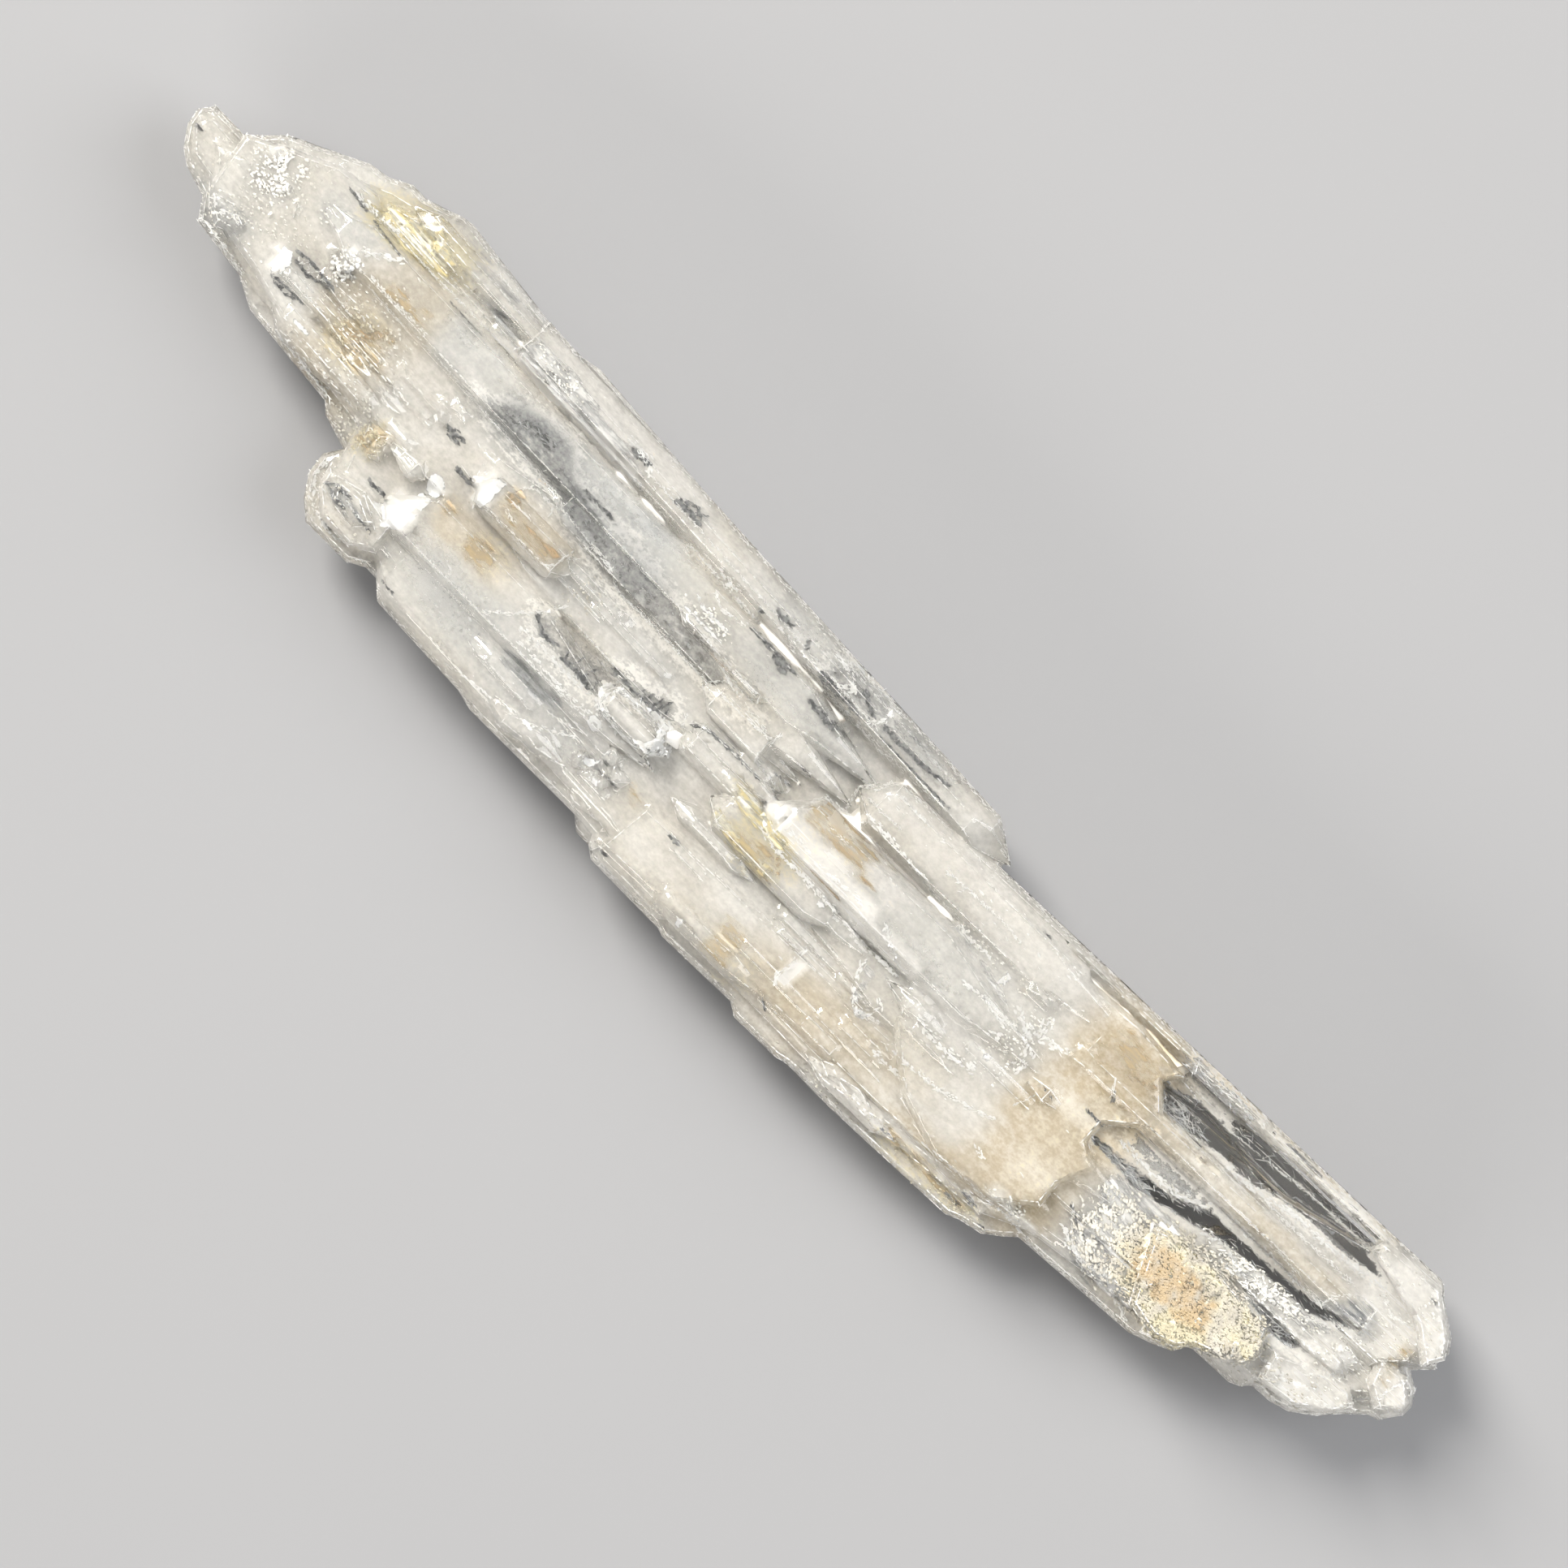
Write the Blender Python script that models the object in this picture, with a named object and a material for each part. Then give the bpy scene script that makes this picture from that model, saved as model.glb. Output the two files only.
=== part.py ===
"""Faden quartz: a flat spray of parallel quartz crystals, grown together as one solid.

Lengths are in millimetres until the finished mesh is scaled to metres. Along runs from the
knob at the left end (0) to the lobed right end, across is measured from the middle of the
width, and up is measured from the plane that the specimen rests on.
"""

import math
import random
from typing import NamedTuple

import bmesh
import bpy
from mathutils import Matrix, Vector

# Driving dimensions, in millimetres.
LENGTH = 50.0
WAIST_LOW, WAIST_HIGH = 1.35, 2.5
SHOULDER_LOW, SHOULDER_HIGH = 0.75, 3.0
RIM_SETBACK = 0.16
SHOULDER_RIM_SETBACK = 0.34
RIM_DROP = 0.3

# Quartz angles, in degrees: the six prism faces stand 60 apart round the long axis, and each
# ends in a point face that leans this far inwards.
PRISM_FACES = (90, 30, -30, -90, -150, 150)
POINT_LEAN = 38.2
FADE = 11.0  # lean of an end that dies away into its neighbours
MINOR_FACE_GAP = 0.06
BROKEN_TILT = (0.12, 0.2)  # how a broken end's face leans, across and up
START_SIZE = 120.0
MERGE = 1e-4
SHORTEST_MITRE = 0.7
TO_METRES = 0.001

QUARTZ_COLOUR = (0.93, 0.91, 0.86, 1.0)
QUARTZ_ROUGHNESS = 0.12
QUARTZ_IOR = 1.544
QUARTZ_TRANSMISSION = 0.6


class Crystal(NamedTuple):
    """One tabular crystal: where its middle line starts and ends, and its reach to each side."""

    name: str
    start: tuple  # along, across
    end: tuple  # along, across
    half_width: float
    bottom: float
    top: float
    start_lean: float | None = POINT_LEAN  # None leaves that end broken square
    end_lean: float | None = POINT_LEAN
    roll: float = 0.0  # degrees about the long axis
    apex_shift: float = 0.0  # how far the points sit off the middle line, towards +across


# The whole rim of the cluster, anticlockwise from the knob's upper corner.
KNOB = [(1.4, 2.15), (0.3, 2.15), (0.0, 1.7), (0.1, 1.2), (0.5, 0.65), (0.95, 0.35), (1.85, 0.1)]
LOWER_LEFT = [(2.3, -0.5), (4.2, -0.7), (5.1, -1.15), (8.4, -1.4), (8.7, -1.65), (9.75, -1.95)]
LOBE = [(9.45, -2.45), (9.55, -3.1), (9.95, -3.7), (10.5, -4.15), (12.1, -4.1), (12.6, -3.8)]
LOWER_EDGE = [
    (13.0, -3.8), (13.3, -3.95), (14.05, -3.95), (14.35, -4.15), (16.4, -4.2), (17.5, -4.45),
    (21.8, -4.35), (22.4, -4.4), (22.55, -4.65), (22.9, -4.9), (25.6, -4.87), (25.85, -4.95),
    (28.5, -4.82), (28.9, -5.05), (30.5, -5.0), (30.9, -4.9), (32.7, -4.87), (34.3, -4.77),
    (37.0, -4.6), (37.4, -4.42), (38.1, -4.25), (38.6, -3.85), (38.9, -3.55),
]
LOWER_RIGHT = [
    (43.0, -3.15), (43.65, -2.9), (44.2, -2.65), (44.4, -2.3), (44.7, -2.1), (45.35, -1.98),
    (45.75, -1.75), (47.1, -1.63), (47.7, -1.45),
]
RIGHT_END = [
    (48.35, -0.95), (48.8, -0.4), (49.3, 0.1), (49.6, 0.2), (50.0, 0.8), (50.0, 1.15),
    (49.75, 1.55), (49.25, 1.85), (49.7, 2.35), (49.6, 2.6), (49.65, 2.95), (49.4, 3.3),
    (48.8, 3.7), (47.95, 4.25),
]
UPPER_EDGE = [
    (45.7, 4.1), (42.3, 3.8), (38.9, 3.55), (34.3, 3.3), (31.1, 3.15), (31.0, 3.5), (29.95, 4.15),
    (26.3, 4.25), (20.6, 4.42), (13.15, 4.82), (12.1, 4.6), (10.3, 4.8), (7.75, 5.05),
    (7.4, 5.0), (6.3, 4.6), (5.75, 4.6), (5.1, 4.25), (4.5, 4.15), (3.4, 3.6), (2.3, 3.05),
    (1.75, 2.45),
]
WAIST = KNOB + LOWER_LEFT + LOBE + LOWER_EDGE + LOWER_RIGHT + RIGHT_END + UPPER_EDGE

# The plainer rim of the thicker middle, inside the waist.
SHOULDER = [
    (0.9, 1.4), (2.3, 0.0), (5.0, -0.7), (9.6, -1.2), (10.1, -2.6), (10.9, -3.6), (12.6, -3.35),
    (16.5, -3.85), (22.4, -4.0), (25.0, -4.5), (33.0, -4.4), (37.5, -3.9), (38.9, -3.2),
    (43.2, -2.5), (45.2, -1.6), (47.4, -1.15), (49.0, 0.4), (49.4, 1.0), (48.9, 1.9),
    (49.1, 3.0), (47.8, 3.85), (38.9, 3.2), (30.8, 2.9), (29.6, 3.75), (13.3, 4.4),
    (12.1, 4.2), (7.8, 4.6), (5.6, 4.0), (3.0, 2.9),
]

# Crystals that stand proud of the broad upper side.
UPPER_CRYSTALS = [
    Crystal("left shoulder", (1.3, 1.7), (27.4, 0.75), 2.75, 1.0, 3.2, 23.0, FADE),
    Crystal("long blade", (11.2, 3.98), (31.15, 3.5), 0.72, 2.2, 3.9, None, 27.0, 7.0),
    Crystal("blade foot", (11.4, 3.45), (29.9, 3.35), 0.34, 2.6, 3.55, None, 30.0),
    Crystal("central blade", (4.3, 2.42), (27.2, 2.28), 0.8, 2.75, 3.62, 20.0, FADE),
    Crystal("central step", (14.4, 1.5), (26.9, 1.42), 0.66, 2.7, 3.5, 24.0, FADE),
    Crystal("upper left ridge", (6.3, 4.2), (12.4, 4.02), 0.42, 2.4, 3.4, 26.0, None, -8.0),
    Crystal("slit crystal", (4.7, 0.42), (9.6, 0.25), 0.42, 2.6, 3.62, 42.0, FADE),
    Crystal("broad lower face", (9.6, 0.6), (27.2, 0.3), 1.5, 1.9, 3.34, FADE, FADE),
    Crystal("stained block", (13.2, 0.15), (16.8, 0.2), 0.6, 2.95, 3.95, 56.0, 50.0),
    Crystal("white faced crystal", (11.6, -1.7), (22.4, -1.6), 0.95, 2.6, 3.55, 40.0, FADE, 0.0, -0.3),
    Crystal("lower ledge", (12.2, -3.0), (23.4, -3.25), 1.2, 1.6, 3.12, 36.0, FADE),
    Crystal("perched crystal", (19.65, -1.38), (22.3, -1.35), 0.52, 3.1, 4.05, 44.0, 44.0, 9.0),
    Crystal("upper sliver", (19.6, 1.75), (23.2, 1.65), 0.22, 3.2, 3.82, 26.0, 34.0),
    Crystal("square sliver", (21.5, 0.8), (24.1, 0.78), 0.5, 3.1, 3.78, 30.0, None),
    Crystal("lower sliver", (22.1, -0.15), (26.0, -0.05), 0.34, 3.1, 3.62, 34.0, FADE),
    Crystal("upper point", (26.6, 2.03), (37.6, 2.42), 0.93, 2.7, 3.95, 40.0, FADE, 5.0),
    Crystal("middle point", (25.1, -0.02), (36.6, 0.42), 1.04, 2.8, 4.12, 40.0, FADE, -3.0, -0.2),
    Crystal("lower point", (23.95, -1.2), (29.6, -1.12), 0.68, 2.8, 3.8, 40.0, 20.0, 4.0),
    Crystal("point chip", (23.5, -0.45), (25.8, -0.5), 0.27, 3.1, 3.72, 34.0, FADE),
    Crystal("right body", (26.0, -0.7), (48.6, 0.85), 2.75, 1.0, 3.2, FADE, 40.0),
    Crystal("lower right ledge", (22.8, -3.5), (41.4, -2.55), 1.2, 1.7, 3.3, None, FADE, 3.0),
    Crystal("cloudy field", (27.6, -1.6), (41.0, -0.75), 0.9, 2.6, 3.42, FADE, FADE, -2.0),
    Crystal("right end ledge", (40.0, 1.9), (49.5, 2.45), 1.5, 2.0, 3.34, FADE, 40.0, -3.0),
    Crystal("upper rim bar", (29.3, 2.9), (48.2, 3.95), 0.28, 2.8, 3.55, 30.0, 36.0),
    Crystal("long prism", (34.2, 1.17), (47.25, 1.85), 0.46, 2.8, 3.8, FADE, None, 0.0),
    Crystal("thin bar", (43.3, 0.05), (47.2, 0.25), 0.17, 2.8, 3.48, 30.0, 30.0),
]

# Crystals on the side that the specimen rests on. Only the first one's face touches.
UNDER_CRYSTALS = [
    Crystal("resting crystal", (6.4, 0.6), (43.6, 0.95), 2.25, 0.0, 2.0),
    Crystal("under blade", (7.6, 3.7), (30.2, 3.2), 0.9, 0.45, 2.3, 30.0, 32.0, 8.0),
    Crystal("under tail", (2.4, 1.6), (18.6, 1.45), 1.3, 0.55, 2.2, 26.0, 34.0),
    Crystal("under lobe", (10.3, -2.3), (28.7, -3.1), 1.2, 0.4, 2.0, 36.0, 38.2, -5.0),
    Crystal("under ledge", (27.3, -2.9), (44.3, -1.35), 1.35, 0.3, 2.1, 36.0, 34.0, -4.0),
    Crystal("under rim", (28.2, 2.3), (48.2, 3.25), 0.85, 0.25, 2.0, 36.0, 36.0, 6.0),
    Crystal("under end", (39.8, 0.2), (48.9, 0.9), 1.25, 0.5, 2.2, 34.0, 38.2),
    Crystal("under sliver", (21.2, -4.0), (34.6, -3.95), 0.7, 0.85, 2.3, 34.0, 34.0),
]


class Ribs(NamedTuple):
    """A stretch of surface that is ribbed with thin crystals, all pointing along the fan."""

    along: tuple
    across: tuple
    faces: tuple  # lowest and highest level that a rib's outer face takes
    count: int


UPPER_RIBS = [
    Ribs((5.2, 10.5), (-0.9, 1.6), (3.3, 3.6), 16),
    Ribs((4.0, 11.0), (2.6, 4.0), (3.2, 3.45), 7),
    Ribs((11.5, 21.5), (-4.0, -2.0), (3.0, 3.45), 16),
    Ribs((13.5, 24.5), (-1.1, 0.9), (3.35, 3.58), 9),
    Ribs((12.0, 26.0), (3.2, 4.3), (3.1, 3.75), 8),
    Ribs((22.5, 34.0), (-4.6, -1.9), (3.2, 3.5), 16),
    Ribs((27.0, 37.5), (-1.6, 2.6), (3.5, 4.05), 14),
    Ribs((34.0, 39.0), (-3.6, 3.0), (3.25, 3.5), 8),
    Ribs((43.0, 47.5), (-1.2, 0.9), (3.25, 3.5), 7),
]
UNDER_RIBS = [
    Ribs((3.0, 15.0), (-0.6, 3.8), (0.5, 0.95), 12),
    Ribs((9.5, 26.0), (-4.2, -1.6), (0.25, 0.75), 14),
    Ribs((22.0, 40.0), (-4.4, -1.8), (0.2, 0.8), 14),
    Ribs((14.0, 32.0), (2.7, 4.2), (0.3, 0.9), 10),
    Ribs((36.0, 48.0), (-1.5, 3.4), (0.15, 0.7), 12),
]
RIB_LENGTH = (1.6, 5.5)
RIB_HALF_WIDTH = (0.3, 0.46)
RIB_DEPTH = 0.9
RIB_OVERRUN = 1.0  # how far a rib may pass the end of its stretch
RIB_START_LEANS = (POINT_LEAN, 26.0, 16.0)
RIB_END_LEANS = (POINT_LEAN, 20.0, FADE)
FAN_AT_LEFT, FAN_AT_RIGHT = -0.045, 0.07  # slope of the crystals' long axes at the two ends


class Chips(NamedTuple):
    """A rough patch of short crystals that lie a little askew."""

    centre: tuple
    reach: tuple
    level: float
    count: int


CHIP_PATCHES = [
    Chips((3.0, 1.9), (1.3, 0.9), 3.3, 12),
    Chips((5.9, 2.0), (0.8, 1.3), 3.3, 7),
    Chips((9.6, -1.2), (1.0, 0.6), 3.2, 8),
    Chips((20.9, -2.9), (0.7, 0.6), 3.2, 8),
    Chips((43.4, -1.3), (1.8, 0.9), 3.7, 34),
    Chips((48.5, 1.6), (0.7, 1.2), 3.45, 9),
    Chips((37.4, -3.6), (1.2, 0.4), 3.0, 7),
]
CHIP_LENGTH = (0.4, 1.0)
CHIP_HALF_WIDTH = (0.24, 0.4)
CHIP_DEPTH = 0.7
CHIP_TURN = 35.0
CHIP_ROLL = 22.0
CHIP_RISE = (0.02, 0.22)  # how far a chip's top stands over its patch
SEED = 11

# Ragged growth layers: outline, low, high.
GROWTH_LAYERS = {
    "knob cap": ([(1.9, 1.9), (0.6, 1.95), (0.25, 1.6), (0.35, 1.2), (0.9, 0.65), (2.1, 0.5)], 1.0, 2.8),
    "tail layer": (
        [(1.6, 2.2), (1.9, 0.6), (2.7, -0.05), (4.4, -0.3), (6.4, -0.8), (7.0, 0.2), (6.2, 1.4),
         (6.8, 2.9), (5.4, 3.7), (4.1, 3.5), (2.6, 2.75)],
        1.6, 3.35,
    ),
    "tail nodule": ([(2.2, 0.2), (2.9, -0.25), (3.5, 0.0), (3.55, 0.5), (2.9, 0.75), (2.3, 0.6)], 2.6, 3.6),
    "lobe cap": (
        [(9.9, -2.5), (10.1, -3.2), (10.8, -3.75), (11.9, -3.75), (12.6, -3.3), (12.5, -2.4),
         (11.2, -2.15)],
        1.1, 3.3,
    ),
    "lobe crest": ([(10.3, -2.55), (10.7, -3.2), (11.6, -3.3), (12.1, -2.8), (11.3, -2.4)], 2.9, 3.55),
    "lower lip": (
        [(22.6, -4.45), (23.1, -4.75), (25.4, -4.7), (25.9, -4.3), (24.2, -4.1), (23.0, -4.15)],
        1.1, 2.95,
    ),
    "cream field": (
        [(31.9, 2.3), (30.9, 1.0), (31.3, -0.6), (32.0, -1.9), (33.6, -3.1), (35.6, -3.7),
         (37.5, -3.4), (38.6, -2.5), (38.5, -1.7), (38.95, -0.6), (38.2, -0.25), (38.15, 0.35),
         (38.9, 1.0), (39.1, 1.8), (38.45, 2.4), (38.8, 2.95), (37.0, 3.1), (34.4, 2.85)],
        2.4, 3.64,
    ),
    "druse bed": (
        [(41.1, -0.5), (42.2, -2.55), (43.3, -2.75), (44.0, -2.5), (44.3, -2.1), (45.1, -1.8),
         (45.7, -1.5), (45.8, -0.9), (45.4, -0.15), (43.6, -0.05), (42.1, -0.1)],
        1.8, 3.7,
    ),
    "end facet": (
        [(45.8, 3.35), (46.9, 3.1), (48.1, 2.8), (49.1, 2.1), (49.45, 2.7), (49.1, 3.2),
         (47.9, 4.05), (45.85, 3.85)],
        1.8, 3.8,
    ),
    "end lobe": (
        [(48.1, 1.5), (48.4, 0.7), (49.1, 0.35), (49.75, 0.85), (49.7, 1.2), (49.1, 1.65)], 1.7, 3.5,
    ),
    "end layer": (
        [(45.9, -0.5), (46.2, -1.45), (47.4, -1.3), (48.2, -0.8), (48.8, -0.05), (48.2, 0.3),
         (47.0, 0.0)],
        1.7, 3.45,
    ),
}


def clear_scene():
    """Removes whatever the scene holds."""
    for item in list(bpy.data.objects):
        bpy.data.objects.remove(item, do_unlink=True)


def quartz_material():
    """Milky, slightly warm clear quartz."""
    material = bpy.data.materials.new("quartz")
    material.use_nodes = True
    shader = material.node_tree.nodes["Principled BSDF"]
    shader.inputs["Base Color"].default_value = QUARTZ_COLOUR
    shader.inputs["Roughness"].default_value = QUARTZ_ROUGHNESS
    shader.inputs["Metallic"].default_value = 0.0
    shader.inputs["IOR"].default_value = QUARTZ_IOR
    shader.inputs["Transmission Weight"].default_value = QUARTZ_TRANSMISSION
    return material


def cut_away(mesh, point, normal):
    """Cuts off what lies beyond a plane and closes the cut."""
    whole = mesh.verts[:] + mesh.edges[:] + mesh.faces[:]
    cut = bmesh.ops.bisect_plane(
        mesh, geom=whole, plane_co=point, plane_no=normal, clear_outer=True
    )
    rim = [item for item in cut["geom_cut"] if isinstance(item, bmesh.types.BMEdge)]
    if rim:
        bmesh.ops.edgeloop_fill(mesh, edges=rim)
        bmesh.ops.remove_doubles(mesh, verts=mesh.verts[:], dist=MERGE)


def cut_point(mesh, apex, lean, outwards, minor_gap):
    """Ends a crystal in six point faces, of which every second one is set back a little."""
    sine, cosine = math.sin(math.radians(lean)), math.cos(math.radians(lean))
    for index, degrees in enumerate(PRISM_FACES):
        across, up = math.cos(math.radians(degrees)), math.sin(math.radians(degrees))
        normal = Vector((outwards * sine, cosine * across, cosine * up))
        gap = minor_gap if index % 2 else 0.0
        cut_away(mesh, apex + gap * normal, normal)


def grow_crystal(crystal):
    """A flattened six-sided prism with a point or a broken face at each end."""
    start, end = Vector(crystal.start), Vector(crystal.end)
    length = (end - start).length
    half_thickness = (crystal.top - crystal.bottom) / 2
    mesh = bmesh.new()
    bmesh.ops.create_cube(mesh, size=START_SIZE)
    for degrees in PRISM_FACES:
        across, up = math.cos(math.radians(degrees)), math.sin(math.radians(degrees))
        flat = abs(degrees) == 90
        reach = half_thickness if flat else crystal.half_width * math.cos(math.radians(30))
        normal = Vector((0.0, across, up))
        cut_away(mesh, reach * normal, normal)
    minor_gap = MINOR_FACE_GAP * crystal.half_width
    for place, outwards, lean in (
        (0.0, -1.0, crystal.start_lean),
        (length, 1.0, crystal.end_lean),
    ):
        apex = Vector((place, crystal.apex_shift, 0.0))
        if lean is None:
            cut_away(mesh, apex, Vector((outwards, *BROKEN_TILT)))
        else:
            cut_point(mesh, apex, lean, outwards, minor_gap)
    turn = math.atan2(end.y - start.y, end.x - start.x)
    place = Vector((start.x, start.y, (crystal.top + crystal.bottom) / 2))
    mesh.transform(
        Matrix.Translation(place)
        @ Matrix.Rotation(turn, 4, "Z")
        @ Matrix.Rotation(math.radians(crystal.roll), 4, "X")
    )
    return add_object(crystal.name, mesh)


def set_back(outline, distance):
    """The outline drawn in by a distance, with its corners mitred and long mitres held short."""
    drawn_in = []
    count = len(outline)
    for index in range(count):
        before = Vector(outline[index - 1])
        here = Vector(outline[index])
        after = Vector(outline[(index + 1) % count])
        into, away = (here - before).normalized(), (after - here).normalized()
        inwards = Vector((-into.y, into.x)) + Vector((-away.y, away.x))
        inwards.normalize()
        mitre = max(SHORTEST_MITRE, inwards.dot(Vector((-into.y, into.x))))
        drawn_in.append(here + inwards * distance / mitre)
    return drawn_in


def grow_layer(name, outline, low, high, rim_setback):
    """A plate with the given rim at mid height, sloping in to its upper and lower faces."""
    drop = min(RIM_DROP, (high - low) / 3)
    inner = set_back(outline, rim_setback)
    levels = [(inner, low), (outline, low + drop), (outline, high - drop), (inner, high)]
    mesh = bmesh.new()
    rings = [[mesh.verts.new((x, y, up)) for x, y in ring] for ring, up in levels]
    count = len(outline)
    for under, over in zip(rings, rings[1:]):
        for index in range(count):
            following = (index + 1) % count
            mesh.faces.new((under[index], under[following], over[following], over[index]))
    mesh.faces.new(reversed(rings[0]))
    mesh.faces.new(rings[-1])
    return add_object(name, mesh)


def fan_slope(along):
    """How the long axes splay: the slope of a crystal that starts this far along."""
    return FAN_AT_LEFT + (FAN_AT_RIGHT - FAN_AT_LEFT) * along / LENGTH


def is_over_shoulder(along, across):
    """Whether a spot lies inside the shoulder's rim, so that what grows there has a root."""
    inside = False
    for (x0, y0), (x1, y1) in zip(SHOULDER, SHOULDER[1:] + SHOULDER[:1]):
        if (y0 > across) != (y1 > across) and along < x0 + (x1 - x0) * (across - y0) / (y1 - y0):
            inside = not inside
    return inside


def grow_ribs(ribs, chance, on_top):
    """Thin crystals scattered over a stretch of the upper or the under side."""
    for index in range(ribs.count):
        along = chance.uniform(*ribs.along)
        across = chance.uniform(*ribs.across)
        length = chance.uniform(*RIB_LENGTH)
        length = min(length, max(RIB_LENGTH[0], ribs.along[1] + RIB_OVERRUN - along))
        face = chance.uniform(*ribs.faces)
        rib = Crystal(
            name=f"rib {index}",
            start=(along, across),
            end=(along + length, across + fan_slope(along) * length),
            half_width=chance.uniform(*RIB_HALF_WIDTH),
            bottom=face - RIB_DEPTH if on_top else face,
            top=face if on_top else face + RIB_DEPTH,
            start_lean=chance.choice(RIB_START_LEANS),
            end_lean=chance.choice(RIB_END_LEANS),
        )
        if is_over_shoulder(*rib.start) and is_over_shoulder(*rib.end):
            yield grow_crystal(rib)


def grow_chips(chips, chance):
    """Short crystals scattered over an oval patch of the upper side, each a little askew."""
    for index in range(chips.count):
        bearing, share = chance.uniform(0, 2 * math.pi), math.sqrt(chance.random())
        along = chips.centre[0] + chips.reach[0] * share * math.cos(bearing)
        across = chips.centre[1] + chips.reach[1] * share * math.sin(bearing)
        length = chance.uniform(*CHIP_LENGTH)
        turn = math.radians(chance.uniform(-CHIP_TURN, CHIP_TURN))
        top = chips.level + chance.uniform(*CHIP_RISE)
        chip = Crystal(
            name=f"chip {index}",
            start=(along, across),
            end=(along + length * math.cos(turn), across + length * math.sin(turn)),
            half_width=chance.uniform(*CHIP_HALF_WIDTH),
            bottom=top - CHIP_DEPTH,
            top=top,
            roll=chance.uniform(-CHIP_ROLL, CHIP_ROLL),
        )
        if is_over_shoulder(*chip.start) and is_over_shoulder(*chip.end):
            yield grow_crystal(chip)


def add_object(name, mesh):
    """Puts a finished bmesh into the scene as an object."""
    bmesh.ops.recalc_face_normals(mesh, faces=mesh.faces[:])
    data = bpy.data.meshes.new(name)
    mesh.to_mesh(data)
    mesh.free()
    item = bpy.data.objects.new(name, data)
    bpy.context.scene.collection.objects.link(item)
    return item


def join(base, others):
    """Unites the base with every other piece, and keeps only the united solid's mesh."""
    group = bpy.data.collections.new("grown together")
    bpy.context.scene.collection.children.link(group)
    for other in others:
        bpy.context.scene.collection.objects.unlink(other)
        group.objects.link(other)
    union = base.modifiers.new("grown together", "BOOLEAN")
    union.operation = "UNION"
    union.operand_type = "COLLECTION"
    union.collection = group
    graph = bpy.context.evaluated_depsgraph_get()
    united = bpy.data.meshes.new_from_object(base.evaluated_get(graph))
    for item in [base, *others]:
        bpy.data.objects.remove(item, do_unlink=True)
    bpy.data.collections.remove(group)
    return united


def keep_outer_shell(data):
    """Fills any pocket that neighbours closed off between them, by dropping its walls."""
    mesh = bmesh.new()
    mesh.from_mesh(data)
    unseen = set(mesh.verts)
    shells = []
    while unseen:
        shell, edge_of_shell = set(), [unseen.pop()]
        while edge_of_shell:
            vertex = edge_of_shell.pop()
            shell.add(vertex)
            for link in vertex.link_edges:
                other = link.other_vert(vertex)
                if other in unseen:
                    unseen.remove(other)
                    edge_of_shell.append(other)
        shells.append(shell)
    outer = max(shells, key=len)
    loose = [vertex for vertex in mesh.verts if vertex not in outer]
    bmesh.ops.delete(mesh, geom=loose, context="VERTS")
    mesh.to_mesh(data)
    mesh.free()


def stand_on_origin(mesh):
    """Moves the mesh so that the origin is under the middle of its box, and scales it to metres."""
    lows = [min(vertex.co[axis] for vertex in mesh.vertices) for axis in range(3)]
    highs = [max(vertex.co[axis] for vertex in mesh.vertices) for axis in range(3)]
    foot = Vector(((lows[0] + highs[0]) / 2, (lows[1] + highs[1]) / 2, lows[2]))
    mesh.transform(Matrix.Scale(TO_METRES, 4) @ Matrix.Translation(-foot))


def main():
    clear_scene()
    waist = grow_layer("waist", WAIST, WAIST_LOW, WAIST_HIGH, RIM_SETBACK)
    pieces = [grow_layer("shoulder", SHOULDER, SHOULDER_LOW, SHOULDER_HIGH, SHOULDER_RIM_SETBACK)]
    for name, (outline, low, high) in GROWTH_LAYERS.items():
        pieces.append(grow_layer(name, outline, low, high, RIM_SETBACK))
    for crystal in UPPER_CRYSTALS + UNDER_CRYSTALS:
        pieces.append(grow_crystal(crystal))
    chance = random.Random(SEED)
    for ribs in UPPER_RIBS:
        pieces.extend(grow_ribs(ribs, chance, on_top=True))
    for ribs in UNDER_RIBS:
        pieces.extend(grow_ribs(ribs, chance, on_top=False))
    for chips in CHIP_PATCHES:
        pieces.extend(grow_chips(chips, chance))
    cluster_mesh = join(waist, pieces)
    keep_outer_shell(cluster_mesh)
    stand_on_origin(cluster_mesh)
    cluster_mesh.materials.clear()
    cluster_mesh.materials.append(quartz_material())
    cluster_mesh.name = "quartz_cluster"
    cluster = bpy.data.objects.new("quartz_cluster", cluster_mesh)
    bpy.context.scene.collection.objects.link(cluster)


if __name__ == "__main__":
    main()
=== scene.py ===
"""Faden quartz on a pale floor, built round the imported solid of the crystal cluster."""

import math
import random
from contextlib import contextmanager
from typing import NamedTuple

import bmesh
import bpy
import numpy as np
from bpy.props import FloatProperty, FloatVectorProperty, IntProperty, PointerProperty
from mathutils import Matrix, Vector, noise
from mathutils.bvhtree import BVHTree


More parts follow.
